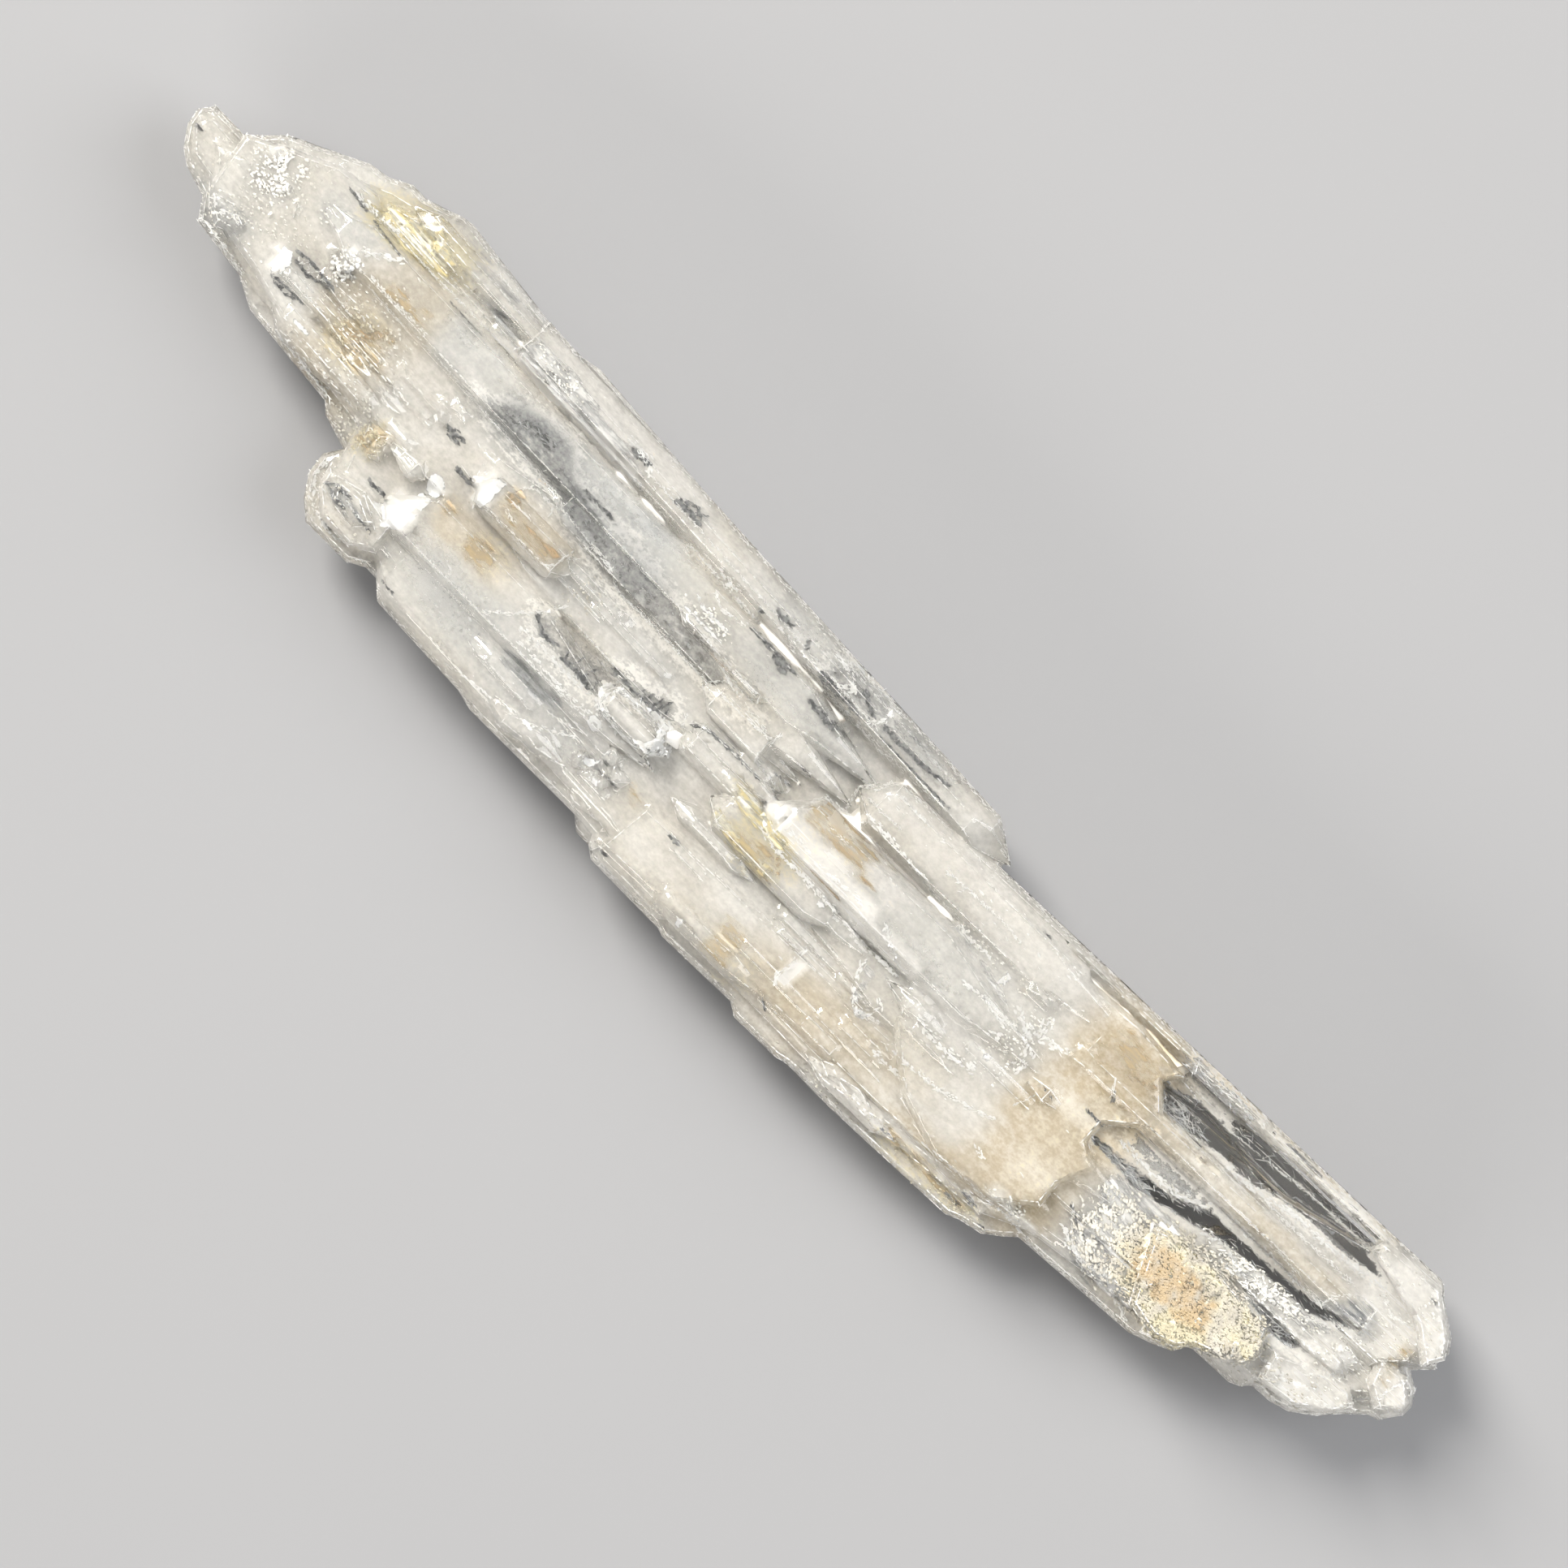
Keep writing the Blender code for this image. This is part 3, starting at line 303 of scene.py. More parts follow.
# Bright lines under the skin: white veins and sugar, and partly painted highlights along crystal edges and
# rims.
VEINS_AND_EDGE_HIGHLIGHTS = veins(
    # The shoulder and the knob end.
    (0.04, 9, 1.72, 11, 1.66, 13, 1.58, 15.1, 1.5), (0.03, 9.2, 4.62, 10.4, 4.5, 11.5, 4.38),
    (0.03, 9.3, 4.4, 10.1, 4.25, 10.8, 4.2),
    (0.05, 11.35, 3.95, 11.25, 3.6, 11.35, 3.4, 13, 3.32, 16.4, 3.28),
    (0.04, 6.2, 3.2, 8.4, 3.25, 11.3, 3.3),
    (0.03, 5.05, 1, 5.3, 0.76, 5.5, 1.02, 5.65, 0.74, 5.85, 1, 6, 0.8, 6.3, 0.95),
    (0.04, 5.2, 0.3, 5.8, 0.28, 6.8, 0.3), (0.04, 7.2, 1.05, 8, 0.95, 8.6, 1),
    (0.12, 6.4, 2.3, 6.9, 2.6, 7.3, 2.85), (0.05, 7, 1.95, 8, 1.9, 9.2, 1.95), (0.05, 7.1, 1.7, 8.6, 1.65),
    (0.14, 6.2, -1, 7.2, -1.12, 8.4, -1.25), (0.1, 2.2, -0.35, 3, -0.42, 4.2, -0.62),
    (0.08, 2.1, 0.45, 2.5, 0.25, 2.6, -0.05, 3.1, 0.4, 3.5, 0.2), (0.1, 5, 3.3, 5.8, 3.28, 6.6, 3.35),
    # The lobe.
    (0.08, 9.7, -2.3, 9.75, -3, 10.3, -3.65, 11.2, -3.85, 12.2, -3.6),
    (0.04, 10.1, -3, 10.6, -2.72, 11.3, -2.9, 12, -3), (0.03, 10.2, -3.15, 10.9, -2.98, 11.3, -3.2),
    (0.03, 10.5, -2.5, 11.3, -2.35, 11.9, -2.45),
    # The long blade and the step below it.
    (0.035, 16.1, 3.75, 18.5, 3.68, 21, 3.6, 25.8, 3.42),
    (0.045, 13, 3.3, 16.5, 3.27, 20.8, 3.12, 27, 3.05), (0.04, 23.6, 4.1, 25.6, 4.05, 28.4, 3.95),
    (0.04, 15.1, 1.5, 15.3, 1.3, 17.3, 1.22, 18, 0.87, 21.6, 0.92, 23.9, 1.05),
    (0.05, 20.8, 1.75, 21.3, 1.55, 22.9, 1.7, 23, 1.45, 21.9, 1.4, 21.2, 1.6),
    (0.06, 19.9, 2.85, 20.4, 2.6, 21.2, 2.75),
    (0.05, 22, 1.35, 23.2, 1.2, 23.95, 1.15, 24.07, 1.35, 24.07, 0.35, 25.3, 0.28),
    (0.04, 21.6, 0.9, 21.9, 1.3, 22.3, 1.45), (0.04, 22.1, -0.2, 22.6, 0, 23.3, 0.12, 25.3, 0.18),
    (0.05, 21.85, -0.1, 22.05, -0.5, 22.6, -0.6),
    # The stained box crystal and what lies below it.
    (0.05, 14.1, 0.85, 14.3, 1.15, 15.1, 1.2, 15.2, 0.95),
    (0.05, 16.6, 0.68, 16.4, 0.35, 16.3, 0, 16, -0.22, 13.85, -0.24), (0.05, 14.25, 0.45, 15.1, 0.55),
    (0.05, 14.2, 0.2, 14.7, 0.08), (0.04, 16.6, 1.04, 16.7, 1.2, 17.5, 1.15, 17.5, 1.02, 16.6, 1.04),
    (0.06, 15.9, -2.25, 16.4, -1.75, 17, -1.1, 17.4, -0.4), (0.07, 16.9, -1.8, 18.2, -1.75, 19.6, -1.7),
    (0.07, 17.2, -2.1, 19, -2.15, 20.4, -2.03, 20.5, -2.3), (0.03, 13.2, -2.35, 16.5, -2.3, 20.4, -2.2),
    (0.05, 16, -4.05, 17.5, -3.78, 18.9, -3.55, 19.7, -3.1, 20.2, -2.8),
    (0.04, 19.1, -2.9, 19.7, -2.75, 20.3, -2.55),
    # The perched crystal's rim and its facets.
    (
        0.12, 19.67, -1.25, 20, -0.95, 20.7, -0.87, 21.3, -0.72, 21.9, -0.77, 22.22, -1.2, 22, -1.62, 21.2,
        -1.83, 20.4, -1.76, 20, -1.75, 19.67, -1.25,
    ),
    (0.07, 20, -0.95, 20.05, -1.35, 20, -1.75),
    (0.12, 19.65, -1.3, 20, -0.95, 21, -0.9, 21.6, -0.75, 22, -0.9, 22.2, -1.25),
    (0.12, 22.2, -1.25, 21.9, -1.6, 21, -1.8, 20.1, -1.75, 19.65, -1.3),
    (0.08, 21.6, -0.8, 21.85, -1.1, 21.9, -1.4, 21.6, -1.75), (0.04, 20.1, -1.05, 20.9, -1.02, 21.6, -1),
    # Sugar along the foot of the long blade.
    (0.1, 19.6, 3.3, 20.4, 3.28), (0.1, 21.9, 3.38, 22.6, 3.3, 23.6, 3.28),
    (0.06, 23.7, 3.15, 25.4, 3.12, 28.8, 3.2), (0.1, 23.5, 4.1, 24.3, 3.95, 24.6, 3.7, 24.2, 3.5),
    (0.1, 25.8, 4.15, 25.75, 3.7, 25.5, 3.4), (0.12, 15.3, 4.05, 15.9, 4, 16.4, 3.7),
    # The upper and the middle points.
    (0.06, 29.4, 3, 27.4, 2.9, 27.1, 2.55, 26.62, 1.98, 26.75, 1.55, 26.85, 1.2),
    (0.04, 26.62, 1.98, 27, 2.2, 27.25, 2.75), (0.05, 27.6, 2.65, 28.4, 2.6, 28.7, 2.75),
    (0.08, 27.3, 1.6, 28.9, 1.55, 30.1, 1.42, 31.2, 1.36, 31.7, 1.25, 32.6, 1.3),
    (0.05, 30, 2.1, 31.8, 2.25, 32.9, 2.2), (0.05, 27, 1.9, 28.3, 1.95),
    (0.06, 25.75, 0.05, 26, 0.6, 26.2, 1.08, 27.2, 1.25), (0.05, 26.9, 0.62, 27.8, 0.62),
    (0.09, 25.7, -0.88, 27.5, -0.92, 29.5, -0.92, 31.2, -0.95),
    (0.08, 29.9, -0.15, 30.4, -0.45, 31.2, -0.8), (0.08, 26.2, -0.25, 27.6, -0.35, 29, -0.2),
    (0.04, 26.7, -1.75, 28.5, -1.8), (0.1, 28.9, -2.2, 28.95, -2.8, 28.85, -3.2, 29, -3.55),
    (0.05, 28.9, -2.2, 29.3, -2.15, 29.7, -2.2), (0.03, 27.1, -2.45, 28.8, -2.4),
    # The loop, the ring of sugar and the lines low on the body.
    (0.08, 30.2, -1.3, 30.5, -1.9, 30.8, -2.3, 31.2, -2.45, 31.45, -2.2, 31.5, -1.85, 31.3, -1.7),
    (0.17, 34.2, 0.9, 34.9, 0.6, 35.3, 0.1, 35.35, -0.4),
    (0.13, 34.6, -1.15, 33.9, -1.35, 33.2, -1.38, 32.4, -1.3), (0.16, 35, 1.4, 35.1, 0.8, 35.9, 1),
    (0.07, 32.5, 0.3, 33.2, 0.38, 34.2, 0.3), (0.12, 34, -0.1, 34.4, -0.05),
    (0.07, 32.3, -2.47, 33.2, -2.4, 34.2, -2.25, 35.2, -2, 35.9, -1.7), (0.08, 32.2, -2.85, 33.4, -2.8),
    (0.08, 36, -2.6, 36.5, -2.7), (0.05, 35, -3.6, 36.4, -3.5, 38.2, -3.35),
    (0.04, 33, -3.85, 34.8, -3.75, 36.5, -3.6), (0.04, 36.2, -0.4, 36.1, -0.75, 36, -1.1),
    (0.06, 37.4, 1.5, 37.55, 1.3, 37.7, 1.05),
    # Edges beside the windows at the right.
    (0.03, 40.7, 2.8, 41.9, 2.95, 43, 3.1, 44.4, 3.3, 45.8, 3.35),
    (0.09, 41.3, 2, 42.3, 2.12, 43.6, 2.45, 45.2, 2.6, 46.8, 2.85),
    (0.06, 42.5, 2.18, 44.2, 2.2, 46.3, 2.35), (0.07, 42.3, 1.15, 44.3, 1.22, 46, 1.28),
    (0.06, 42.5, 1.4, 43.6, 1.45, 45, 1.4), (0.03, 39.4, 1.75, 42, 1.95, 44, 2.1),
    (0.06, 44, 0.08, 45.5, 0.18, 46.8, 0.22), (0.05, 45.98, 1.25, 45.95, 1.7, 46.3, 2.1, 46.9, 2.35),
    # Terraces at the right end and the bright lower rim.
    (0.06, 49.3, 1.8, 49, 1.2, 48.9, 0.5, 48.3, -0.4, 47.2, -1, 46, -1.3),
    (0.05, 48.8, 3.1, 49.2, 2.5, 48.9, 2, 48.5, 1.6), (0.05, 47.8, 0.9, 47.6, 0.1, 46.9, -0.5),
    (0.05, 46.2, -1, 47.5, -1.1, 48.4, -0.8), (0.06, 38.2, -3.35, 39.3, -3.45, 41, -3.25, 42.5, -3.15),
    (0.06, 39.2, -1.8, 39.9, -2.5, 40.9, -2.9), (0.06, 39.6, -1.2, 40.6, -1.4),
    (0.07, 40.2, -2.1, 41.6, -2.6, 42.7, -3), (0.06, 40.2, -0.5, 41.2, -1, 41.9, -1.9),
    (0.12, 39.5, -0.8, 40.3, -1, 40.9, -1.5), (0.12, 39.6, -1.6, 40.6, -1.75, 41.4, -2.2),
    (0.12, 39.4, -2.4, 40.4, -2.75, 41.3, -2.8), (0.1, 38.9, 0.43, 40.2, 0.42, 41.2, 0.58, 41.9, 0.9),
    (0.08, 42.2, 0.25, 42.9, 0.5, 43.3, 0.38, 44.6, 0.55, 45.9, 0.7, 46.8, 1.15),
    (0.12, 43.2, 0.1, 44.4, 0.45, 45.6, 0.5), (0.1, 46.6, 2.9, 47.6, 2.5, 48.3, 2.75),
    (0.1, 45.9, -0.95, 46.9, -0.85, 47.6, -0.4),
)

# Painted shade: dark hairlines where clear quartz parts the milk, coloured dark to stand in for the darkness
# seen through the clear quartz.
SHADED_SLITS = veins(
    (0.07, 21.4, 2.86, 22.3, 2.88, 23.1, 2.87), (0.1, 22.4, 2.74, 22.9, 2.7),
    (0.12, 24, 2.58, 24.6, 2.58, 25.1, 2.64), (0.05, 25, 2.68, 25.4, 2.68), (0.1, 21.6, 3.7, 22.1, 3.68),
    (0.1, 22.78, 3.75, 22.78, 3.6), (0.06, 21.1, 3.35, 21.35, 3.35), (0.08, 15.5, 3.9, 16.2, 3.92),
    (0.08, 17.4, 3.8, 18.3, 3.78), (0.05, 17.6, 3.95, 17.95, 4.12, 18.2, 3.9),
    (0.04, 17.9, 3.85, 18.3, 4.1), (0.08, 23.6, 3.42, 24.4, 3.32, 25.2, 3.32),
    (0.07, 23.7, 3.25, 24.4, 3.25), (0.1, 24.8, 4, 25.2, 3.7, 25.5, 3.55),
    (0.06, 25.9, 3.58, 27.3, 3.62, 28.4, 3.8), (0.04, 26.6, 4, 27.2, 4.02), (0.03, 26, 3.33, 28.8, 3.33),
    (0.04, 4.75, 3.22, 5.2, 3.18, 5.6, 3.1), (0.03, 5.9, 3.08, 7.1, 2.96), (0.03, 9, 3.08, 10.3, 3.05),
    (0.05, 5, 0.95, 5.4, 1.02, 6.3, 0.98, 6.6, 0.88), (0.05, 5.2, 0.75, 5.6, 0.68, 6.1, 0.8, 6.5, 0.86),
    (0.04, 5, 0, 5.6, 0.04, 6.2, 0.05), (0.05, 5.2, -0.1, 5.5, -0.08), (0.04, 5.65, -0.12, 5.95, 0),
    (0.08, 11.45, 0.58, 11.7, 0.62, 12.1, 0.66), (0.06, 11.6, 0.45, 12, 0.48),
    (0.07, 12.4, 0, 12.7, -0.05, 13.1, -0.02), (0.06, 10.9, -2.03, 11.7, -2.02),
    (0.05, 10.2, -2.95, 10.5, -2.76, 10.75, -2.8), (0.04, 10.8, -2.74, 11.15, -2.74),
    (0.06, 10.65, -3.13, 10.95, -3.05, 11.25, -3.15), (0.05, 11.4, -2.9, 11.75, -2.98, 12.05, -3),
    (0.03, 10.8, -3.76, 11.2, -3.79), (0.06, 0.35, 1.35, 0.65, 1.37), (0.03, 13.2, -3.71, 13.75, -3.71),
    (0.05, 22.85, -4.5, 23.2, -4.48), (0.03, 21.2, -2.98, 22, -2.98), (0.03, 21.15, -2.7, 21.4, -2.68),
    (0.06, 23.85, -2.8, 24.35, -2.78), (0.03, 25, 1.16, 25.5, 1.15), (0.03, 24.7, 0.55, 25.3, 0.56),
    (0.05, 22.15, -0.25, 22.5, 0, 23.3, 0.1, 24.6, 0.1), (0.05, 15.4, 2.15, 16.5, 2.14),
    (0.04, 29, -4.08, 29.2, -4.18, 29.4, -4.3), (0.04, 33.1, 2.9, 33.4, 2.9),
    (0.03, 36.2, -0.1, 36.6, -0.18), (0.04, 37.5, 0.33, 38.2, 0.35), (0.04, 37.6, 1.25, 37.85, 0.95),
    (0.07, 36.85, -3.8, 37.4, -3.8), (0.05, 36.6, -4.15, 37, -4.14), (0.07, 37.9, -4.1, 38.2, -4.08),
    (0.05, 33.9, -4.2, 34.4, -4.18), (0.05, 39.1, -1.8, 39.7, -2.05, 40.4, -2.3, 40.9, -2.42),
    (0.03, 47.9, 3.62, 48.2, 3.58), (0.03, 20.5, -0.78, 20.55, -0.5), (0.03, 20.75, -0.8, 20.8, -0.42),
    (0.04, 21, -0.72, 21.1, -0.35), (0.04, 21.2, -0.6, 21.3, -0.22), (0.03, 21.45, -0.62, 21.4, -0.35),
    (0.06, 19.5, -0.72, 20.4, -0.75, 21.3, -0.66), (0.07, 18.3, -1.58, 18.9, -1.5, 19.5, -1.62),
    (0.04, 18.3, -1.2, 18.4, -1.5), (0.03, 18.75, -1.05, 18.7, -1.35), (0.04, 19.2, -1.1, 19.1, -1.5),
    (0.03, 19.5, -1.25, 19.55, -1.55), (0.06, 17, -1.2, 17.5, -1.5, 18, -1.4),
)

# Small bright faces: partly crystals that show end on and crushed steps, partly painted highlights where facets
# glare white.
WHITE_AND_HIGHLIT_FACES = outlines(
    (4.65, 0.8, 4.95, 0.85, 5.22, 0.55, 5.2, 0.2, 4.95, 0, 4.75, 0.15, 4.7, 0.5),
    (6.1, -0.38, 6.4, -0.5, 6.95, -0.52, 6.95, -0.38),
    (12.1, -0.55, 12.4, -0.45, 12.65, -0.65, 12.7, -1.08, 12.3, -1.1, 12.1, -0.8),
    (
        12.25, -1.15, 12.7, -1.15, 12.65, -2.35, 12.05, -2.75, 11.65, -2.6, 11.5, -2.35, 11.75, -2.15, 12.1,
        -1.95,
    ),
    (13.1, 0.05, 13.35, 0.3, 13.6, 0.7, 13.8, 0.65, 13.85, -0.35, 13.6, -0.3, 13.3, -0.05),
    (19.6, 2.4, 19.8, 2.45, 20, 2.33, 21.1, 2.32, 21, 2.2, 20, 2.2),
    (19.5, 1.95, 20.8, 2, 21.2, 1.95, 20.6, 1.85, 19.7, 1.87),
    (20.9, -2.6, 21.15, -2.3, 21.2, -2.5, 21.05, -2.68), (20.65, -3.05, 21.1, -2.75, 21.15, -3, 20.9, -3.2),
    (21.3, -3.25, 21.6, -3.1, 21.7, -3.2, 21.5, -3.4, 21.35, -3.38),
    (
        19.62, -1.28, 20, -0.9, 20.7, -0.83, 21.3, -0.68, 21.95, -0.73, 21.92, -0.84, 21.3, -0.82, 20.7,
        -0.97, 20.08, -1.04, 19.82, -1.3,
    ),
    (
        19.62, -1.3, 19.98, -1.8, 21.2, -1.89, 22.05, -1.66, 22.28, -1.2, 22.13, -1.2, 21.93, -1.55, 21.2,
        -1.75, 20.06, -1.66, 19.82, -1.3,
    ),
    (19.66, -1.29, 20, -0.96, 20.02, -1.72),
    (21.4, -0.86, 21.95, -0.86, 22.15, -1.2, 21.95, -1.5, 21.55, -1.68, 21.75, -1.2),
    (19.95, -2.2, 20.12, -1.96, 20.5, -1.95, 20.52, -2.2, 20.3, -2.38),
    (25.55, 0.1, 25.75, 0.15, 25.8, -0.3, 25.6, -0.4, 25.5, -0.1),
    (25.3, -0.35, 25.6, -0.45, 25.72, -0.88, 25.5, -0.8), (25.75, -4.2, 26, -4.1, 26, -4.4, 25.85, -4.42),
    (28.1, -0.97, 28.4, -0.97, 28.35, -1.2, 28.15, -1.15),
    (12.6, 3.8, 13.1, 3.5, 16.4, 3.4, 16.4, 3.32, 13, 3.34, 12.6, 3.37),
    (33.15, 1.4, 33.4, 1.35, 33.42, 1, 33.2, 0.95), (34.35, -0.6, 34.6, -0.55, 34.65, -0.75, 34.45, -0.8),
    (30.95, -2.4, 31.4, -2.2, 31.4, -2.45, 31.1, -2.52), (27.25, 1.45, 27.5, 1.45, 27.5, 1.28, 27.3, 1.28),
    (37.9, -3.05, 38.4, -3.1, 38.6, -3.2, 38, -3.25), (6, 2.1, 6.3, 2.2, 6.35, 1.95, 6.1, 1.85),
    (6.3, 1.75, 6.5, 1.9, 6.5, 1.55, 6.35, 1.5), (2.6, 2.6, 2.78, 2.65, 2.82, 2.35, 2.65, 2.3),
)

# Iron stain on buried faces and in cracks.
BROWN_FACES = outlines(
    (14.7, 0.2, 15.1, 0.36, 15.7, 0.34, 15.9, 0.44, 16.3, 0.38, 16.25, 0.14, 15.6, 0.18, 15.2, 0.12),
    (15.1, 0.04, 15.9, 0.08, 16.2, 0.02, 16.1, -0.14, 15.6, -0.06, 15.2, -0.1),
    (14.02, 0.6, 14.15, 0.9, 14.4, 0.85, 14.45, 0.5, 14.65, 0.35, 14.4, 0.28, 14.1, 0.4),
    (26.25, 1.15, 27.2, 1.22, 27.5, 1.12, 29.1, 1.1, 29.1, 1.02, 27.6, 1, 26.2, 0.95),
    (27.1, 0.5, 28.5, 0.48, 28.55, 0.35, 29.2, 0.3, 29.1, 0.15, 28.4, 0.25, 28, 0.38, 27.1, 0.35),
    (27.2, -0.58, 28.6, -0.55, 28.6, -0.65, 27.7, -0.72),
    (26.4, -0.98, 26.6, -1, 26.95, -1.4, 26.85, -1.48, 26.5, -1.15),
    (26.8, -1.5, 26.9, -1.5, 26.95, -1.95, 26.85, -1.95),
    (14.4, -0.8, 14.9, -0.85, 14.9, -1.05, 14.5, -1.1), (12.9, -0.7, 13.3, -0.8, 13.2, -1.1, 12.9, -1.1),
    (14.4, -1.5, 14.8, -1.45, 14.8, -1.6, 14.5, -1.65),
    (37.5, 1.8, 38.4, 2.25, 38.5, 2.1, 37.9, 1.8, 37.4, 1.6),
    (8, 0.2, 8.4, 0.9, 8.5, 1.3, 8.3, 1.35, 8, 0.8, 7.7, 0.6, 7.6, 0.2),
)

TAN_FACES = outlines(
    (13.9, -0.15, 16.1, -0.15, 16.3, 0.4, 14.7, 0.4, 14.5, 0.9, 13.9, 0.85),
    (26, 0.6, 26.3, 1.15, 27.3, 1.2, 28.9, 1.1, 28.5, 0.7, 29.3, 0.2, 28, 0.1, 26.2, 0.2),
    (14, -0.7, 15.2, -0.7, 15.3, -1.7, 14.1, -1.6), (12.8, -0.55, 13.5, -0.6, 13.4, -1.3, 12.9, -1.3),
    (7.1, 0.1, 7.2, 1, 8.7, 1.25, 9.1, 0.3, 8.8, -0.5, 7.4, -0.4), (7.5, 2.4, 9, 2.5, 9.6, 1.95, 7.4, 1.78),
    (9.7, -0.6, 10.9, -0.6, 10.6, -1.7, 9.8, -1.5), (22.1, -2.4, 22.9, -2.6, 22.95, -3.1, 22.2, -2.95),
    (26.6, -3, 27.7, -3, 27.8, -4.5, 26.6, -4.5), (34, -3.9, 37.2, -3.75, 37.4, -4.3, 34, -4.55),
    (36.5, 2.9, 38.4, 2.5, 38.5, 1.9, 37.2, 1.8, 36.4, 2.2),
    (48.2, 2.4, 48.8, 2.3, 48.9, 1, 48.4, 0.9, 48.3, 1.6),
    (25, -1, 26.3, -1, 26.9, -1.5, 26.9, -1.9, 25.2, -1.85),
)

GREY_FACES = outlines(
    (46, 1.3, 46, 1.7, 46.6, 2.2, 47, 2.4, 47.2, 2.1, 47.1, 1.7, 46.5, 1.4),
    (43.5, -0.15, 44, -0.1, 44.3, -0.3, 44, -0.55, 43.6, -0.45),
    (39.1, -1.75, 39.8, -1.9, 41, -2.4, 40.6, -2.47, 39.7, -2.25),
    (39.6, -2.6, 41, -2.85, 42.7, -3.1, 42.2, -3.15, 40.7, -3.05), (8, 4.75, 9, 4.7, 9, 4.55, 8.2, 4.55),
    (9.3, 4.65, 11.3, 4.5, 11.3, 4.35, 9.6, 4.3),
    (9.2, 4.1, 10.1, 4, 10.5, 3.95, 11.25, 3.9, 11.2, 3.5, 10.5, 3.35, 9.8, 3.7),
    (10.1, -2.85, 10.6, -2.65, 11.3, -2.7, 12.1, -2.95, 11.3, -3.22, 10.6, -3.2),
    (16.7, -2.35, 19.3, -2.3, 19.4, -2.9, 17.2, -2.95),
)

PALE_FACES = outlines(
    (
        39.3, -0.3, 40.4, -0.1, 41.6, 0, 42, -0.3, 41.3, -0.9, 41.8, -2.1, 42.6, -2.7, 41.4, -2.95, 40.2,
        -2.7, 39.5, -2.1, 39.9, -1.4, 39.3, -1,
    ),
    (
        19.8, -1, 20.3, -0.8, 21.8, -0.8, 22.1, -1.1, 21.6, -1.05, 20.4, -1, 20, -1.25, 20.1, -1.6, 19.9,
        -1.55,
    ),
    (20.1, -1.65, 21.6, -1.65, 21.9, -1.4, 22, -1.6, 21.6, -1.85, 20.2, -1.8),
    (30.3, -1.3, 30.7, -1.2, 31, -2.2, 31.4, -2.4, 31.2, -2.6, 30.7, -2.3),
    (11.3, 4.1, 12.8, 4.2, 15.4, 3.9, 16.3, 3.6, 14, 3.35, 11.3, 3.4),
    (30, 1.4, 31.5, 1.3, 33.4, 1, 34.5, 0.4, 33.2, 0.7, 31.5, 1.05),
    (43, 0.4, 44.6, 0.6, 46.2, 0.9, 46.9, 1.1, 46.4, 0.5, 44.8, 0.3, 43.4, 0.1),
)

YELLOW_FACES = outlines(
    (
        7, 4.5, 7.2, 4.55, 7.5, 4.3, 8, 4.15, 8.1, 4, 8.7, 4.1, 8.3, 3.7, 8.5, 3.4, 8, 3.3, 7.2, 3.15, 6.2,
        3.15, 5.2, 3.25, 5.9, 3.5, 5.7, 3.75, 6.2, 3.95, 6.9, 4.1,
    ),
    (24.2, -0.45, 25, -0.3, 26.4, -0.5, 26.5, -0.9, 25, -0.95, 24.4, -0.8),
    (24.2, -1.2, 25.4, -1.35, 26.7, -1.3, 26.6, -1.8, 25.2, -1.8, 24.3, -1.6),
    (42.9, -1.7, 43.9, -1.7, 44.4, -2.1, 44, -2.7, 43.2, -2.9, 42.9, -2.4),
    (
        41, -0.8, 42, -0.3, 43.4, -0.2, 44.6, -0.2, 45.5, -0.5, 45.7, -1.2, 44.6, -1.7, 44.2, -2.3, 43,
        -2.6, 41.6, -2.2,
    ),
)


def wavered(places, waver):
    """Along and across of each place, nudged by smooth noise so that a patch's rim isn't a plain curve."""
    noise.seed_set(SEED)  # noise_vector would otherwise take its offsets from the clock
    drift = np.array([noise.noise_vector(Vector(place) / WAVER_SIZE) for place in places])
    along = along_of(places[:, 0]) + drift[:, 0] * waver * 2
    across = across_of(places[:, 1]) + drift[:, 1] * waver
    return along, across


def cover(listed, spread, softness):
    """How strongly the patches cover each place: 0 outside them all, up to their strength inside."""
    along, across = spread
    best = np.zeros(len(along))
    for patch in listed:
        angle = math.radians(patch.turn)
        off, up = along - patch.along, across - patch.across
        run = (off * math.cos(angle) + up * math.sin(angle)) / patch.reach
        rise = (up * math.cos(angle) - off * math.sin(angle)) / patch.breadth
        distance = (np.abs(run) ** 3 + np.abs(rise) ** 3) ** (1 / 3)
        share = np.clip((1 + softness / 2 - distance) / softness, 0, 1)
        best = np.maximum(best, patch.strength * share * share * (3 - 2 * share))
    return best


def depth_in(outline, along, across):
    """Distance from the outline's rim in millimetres, above 0 inside it."""
    nearest = np.full(len(along), np.inf)
    inside = np.zeros(len(along), bool)
    for (x0, y0), (x1, y1) in zip(outline, outline[1:] + outline[:1]):
        dx, dy = x1 - x0, y1 - y0
        share = np.clip(((along - x0) * dx + (across - y0) * dy) / (dx * dx + dy * dy), 0, 1)
        nearest = np.minimum(nearest, np.hypot(along - x0 - share * dx, across - y0 - share * dy))
        if dy:
            crosses = (y0 > across) != (y1 > across)
            inside ^= crosses & (along < x0 + (across - y0) * dx / dy)
    return np.where(inside, nearest, -nearest)


def openings(along, across):
    """How far each place lies inside a window, in millimetres, and the haze of the window it is in."""
    deepest, haze = np.full(len(along), -1.0), np.zeros(len(along))
    for window in WINDOWS:
        depth = depth_in(window.outline, along, across)
        nearer = depth > deepest
        deepest[nearer], haze[nearer] = depth[nearer], window.haze
    return deepest, haze


# ---------------------------------------------------------------- shader maths


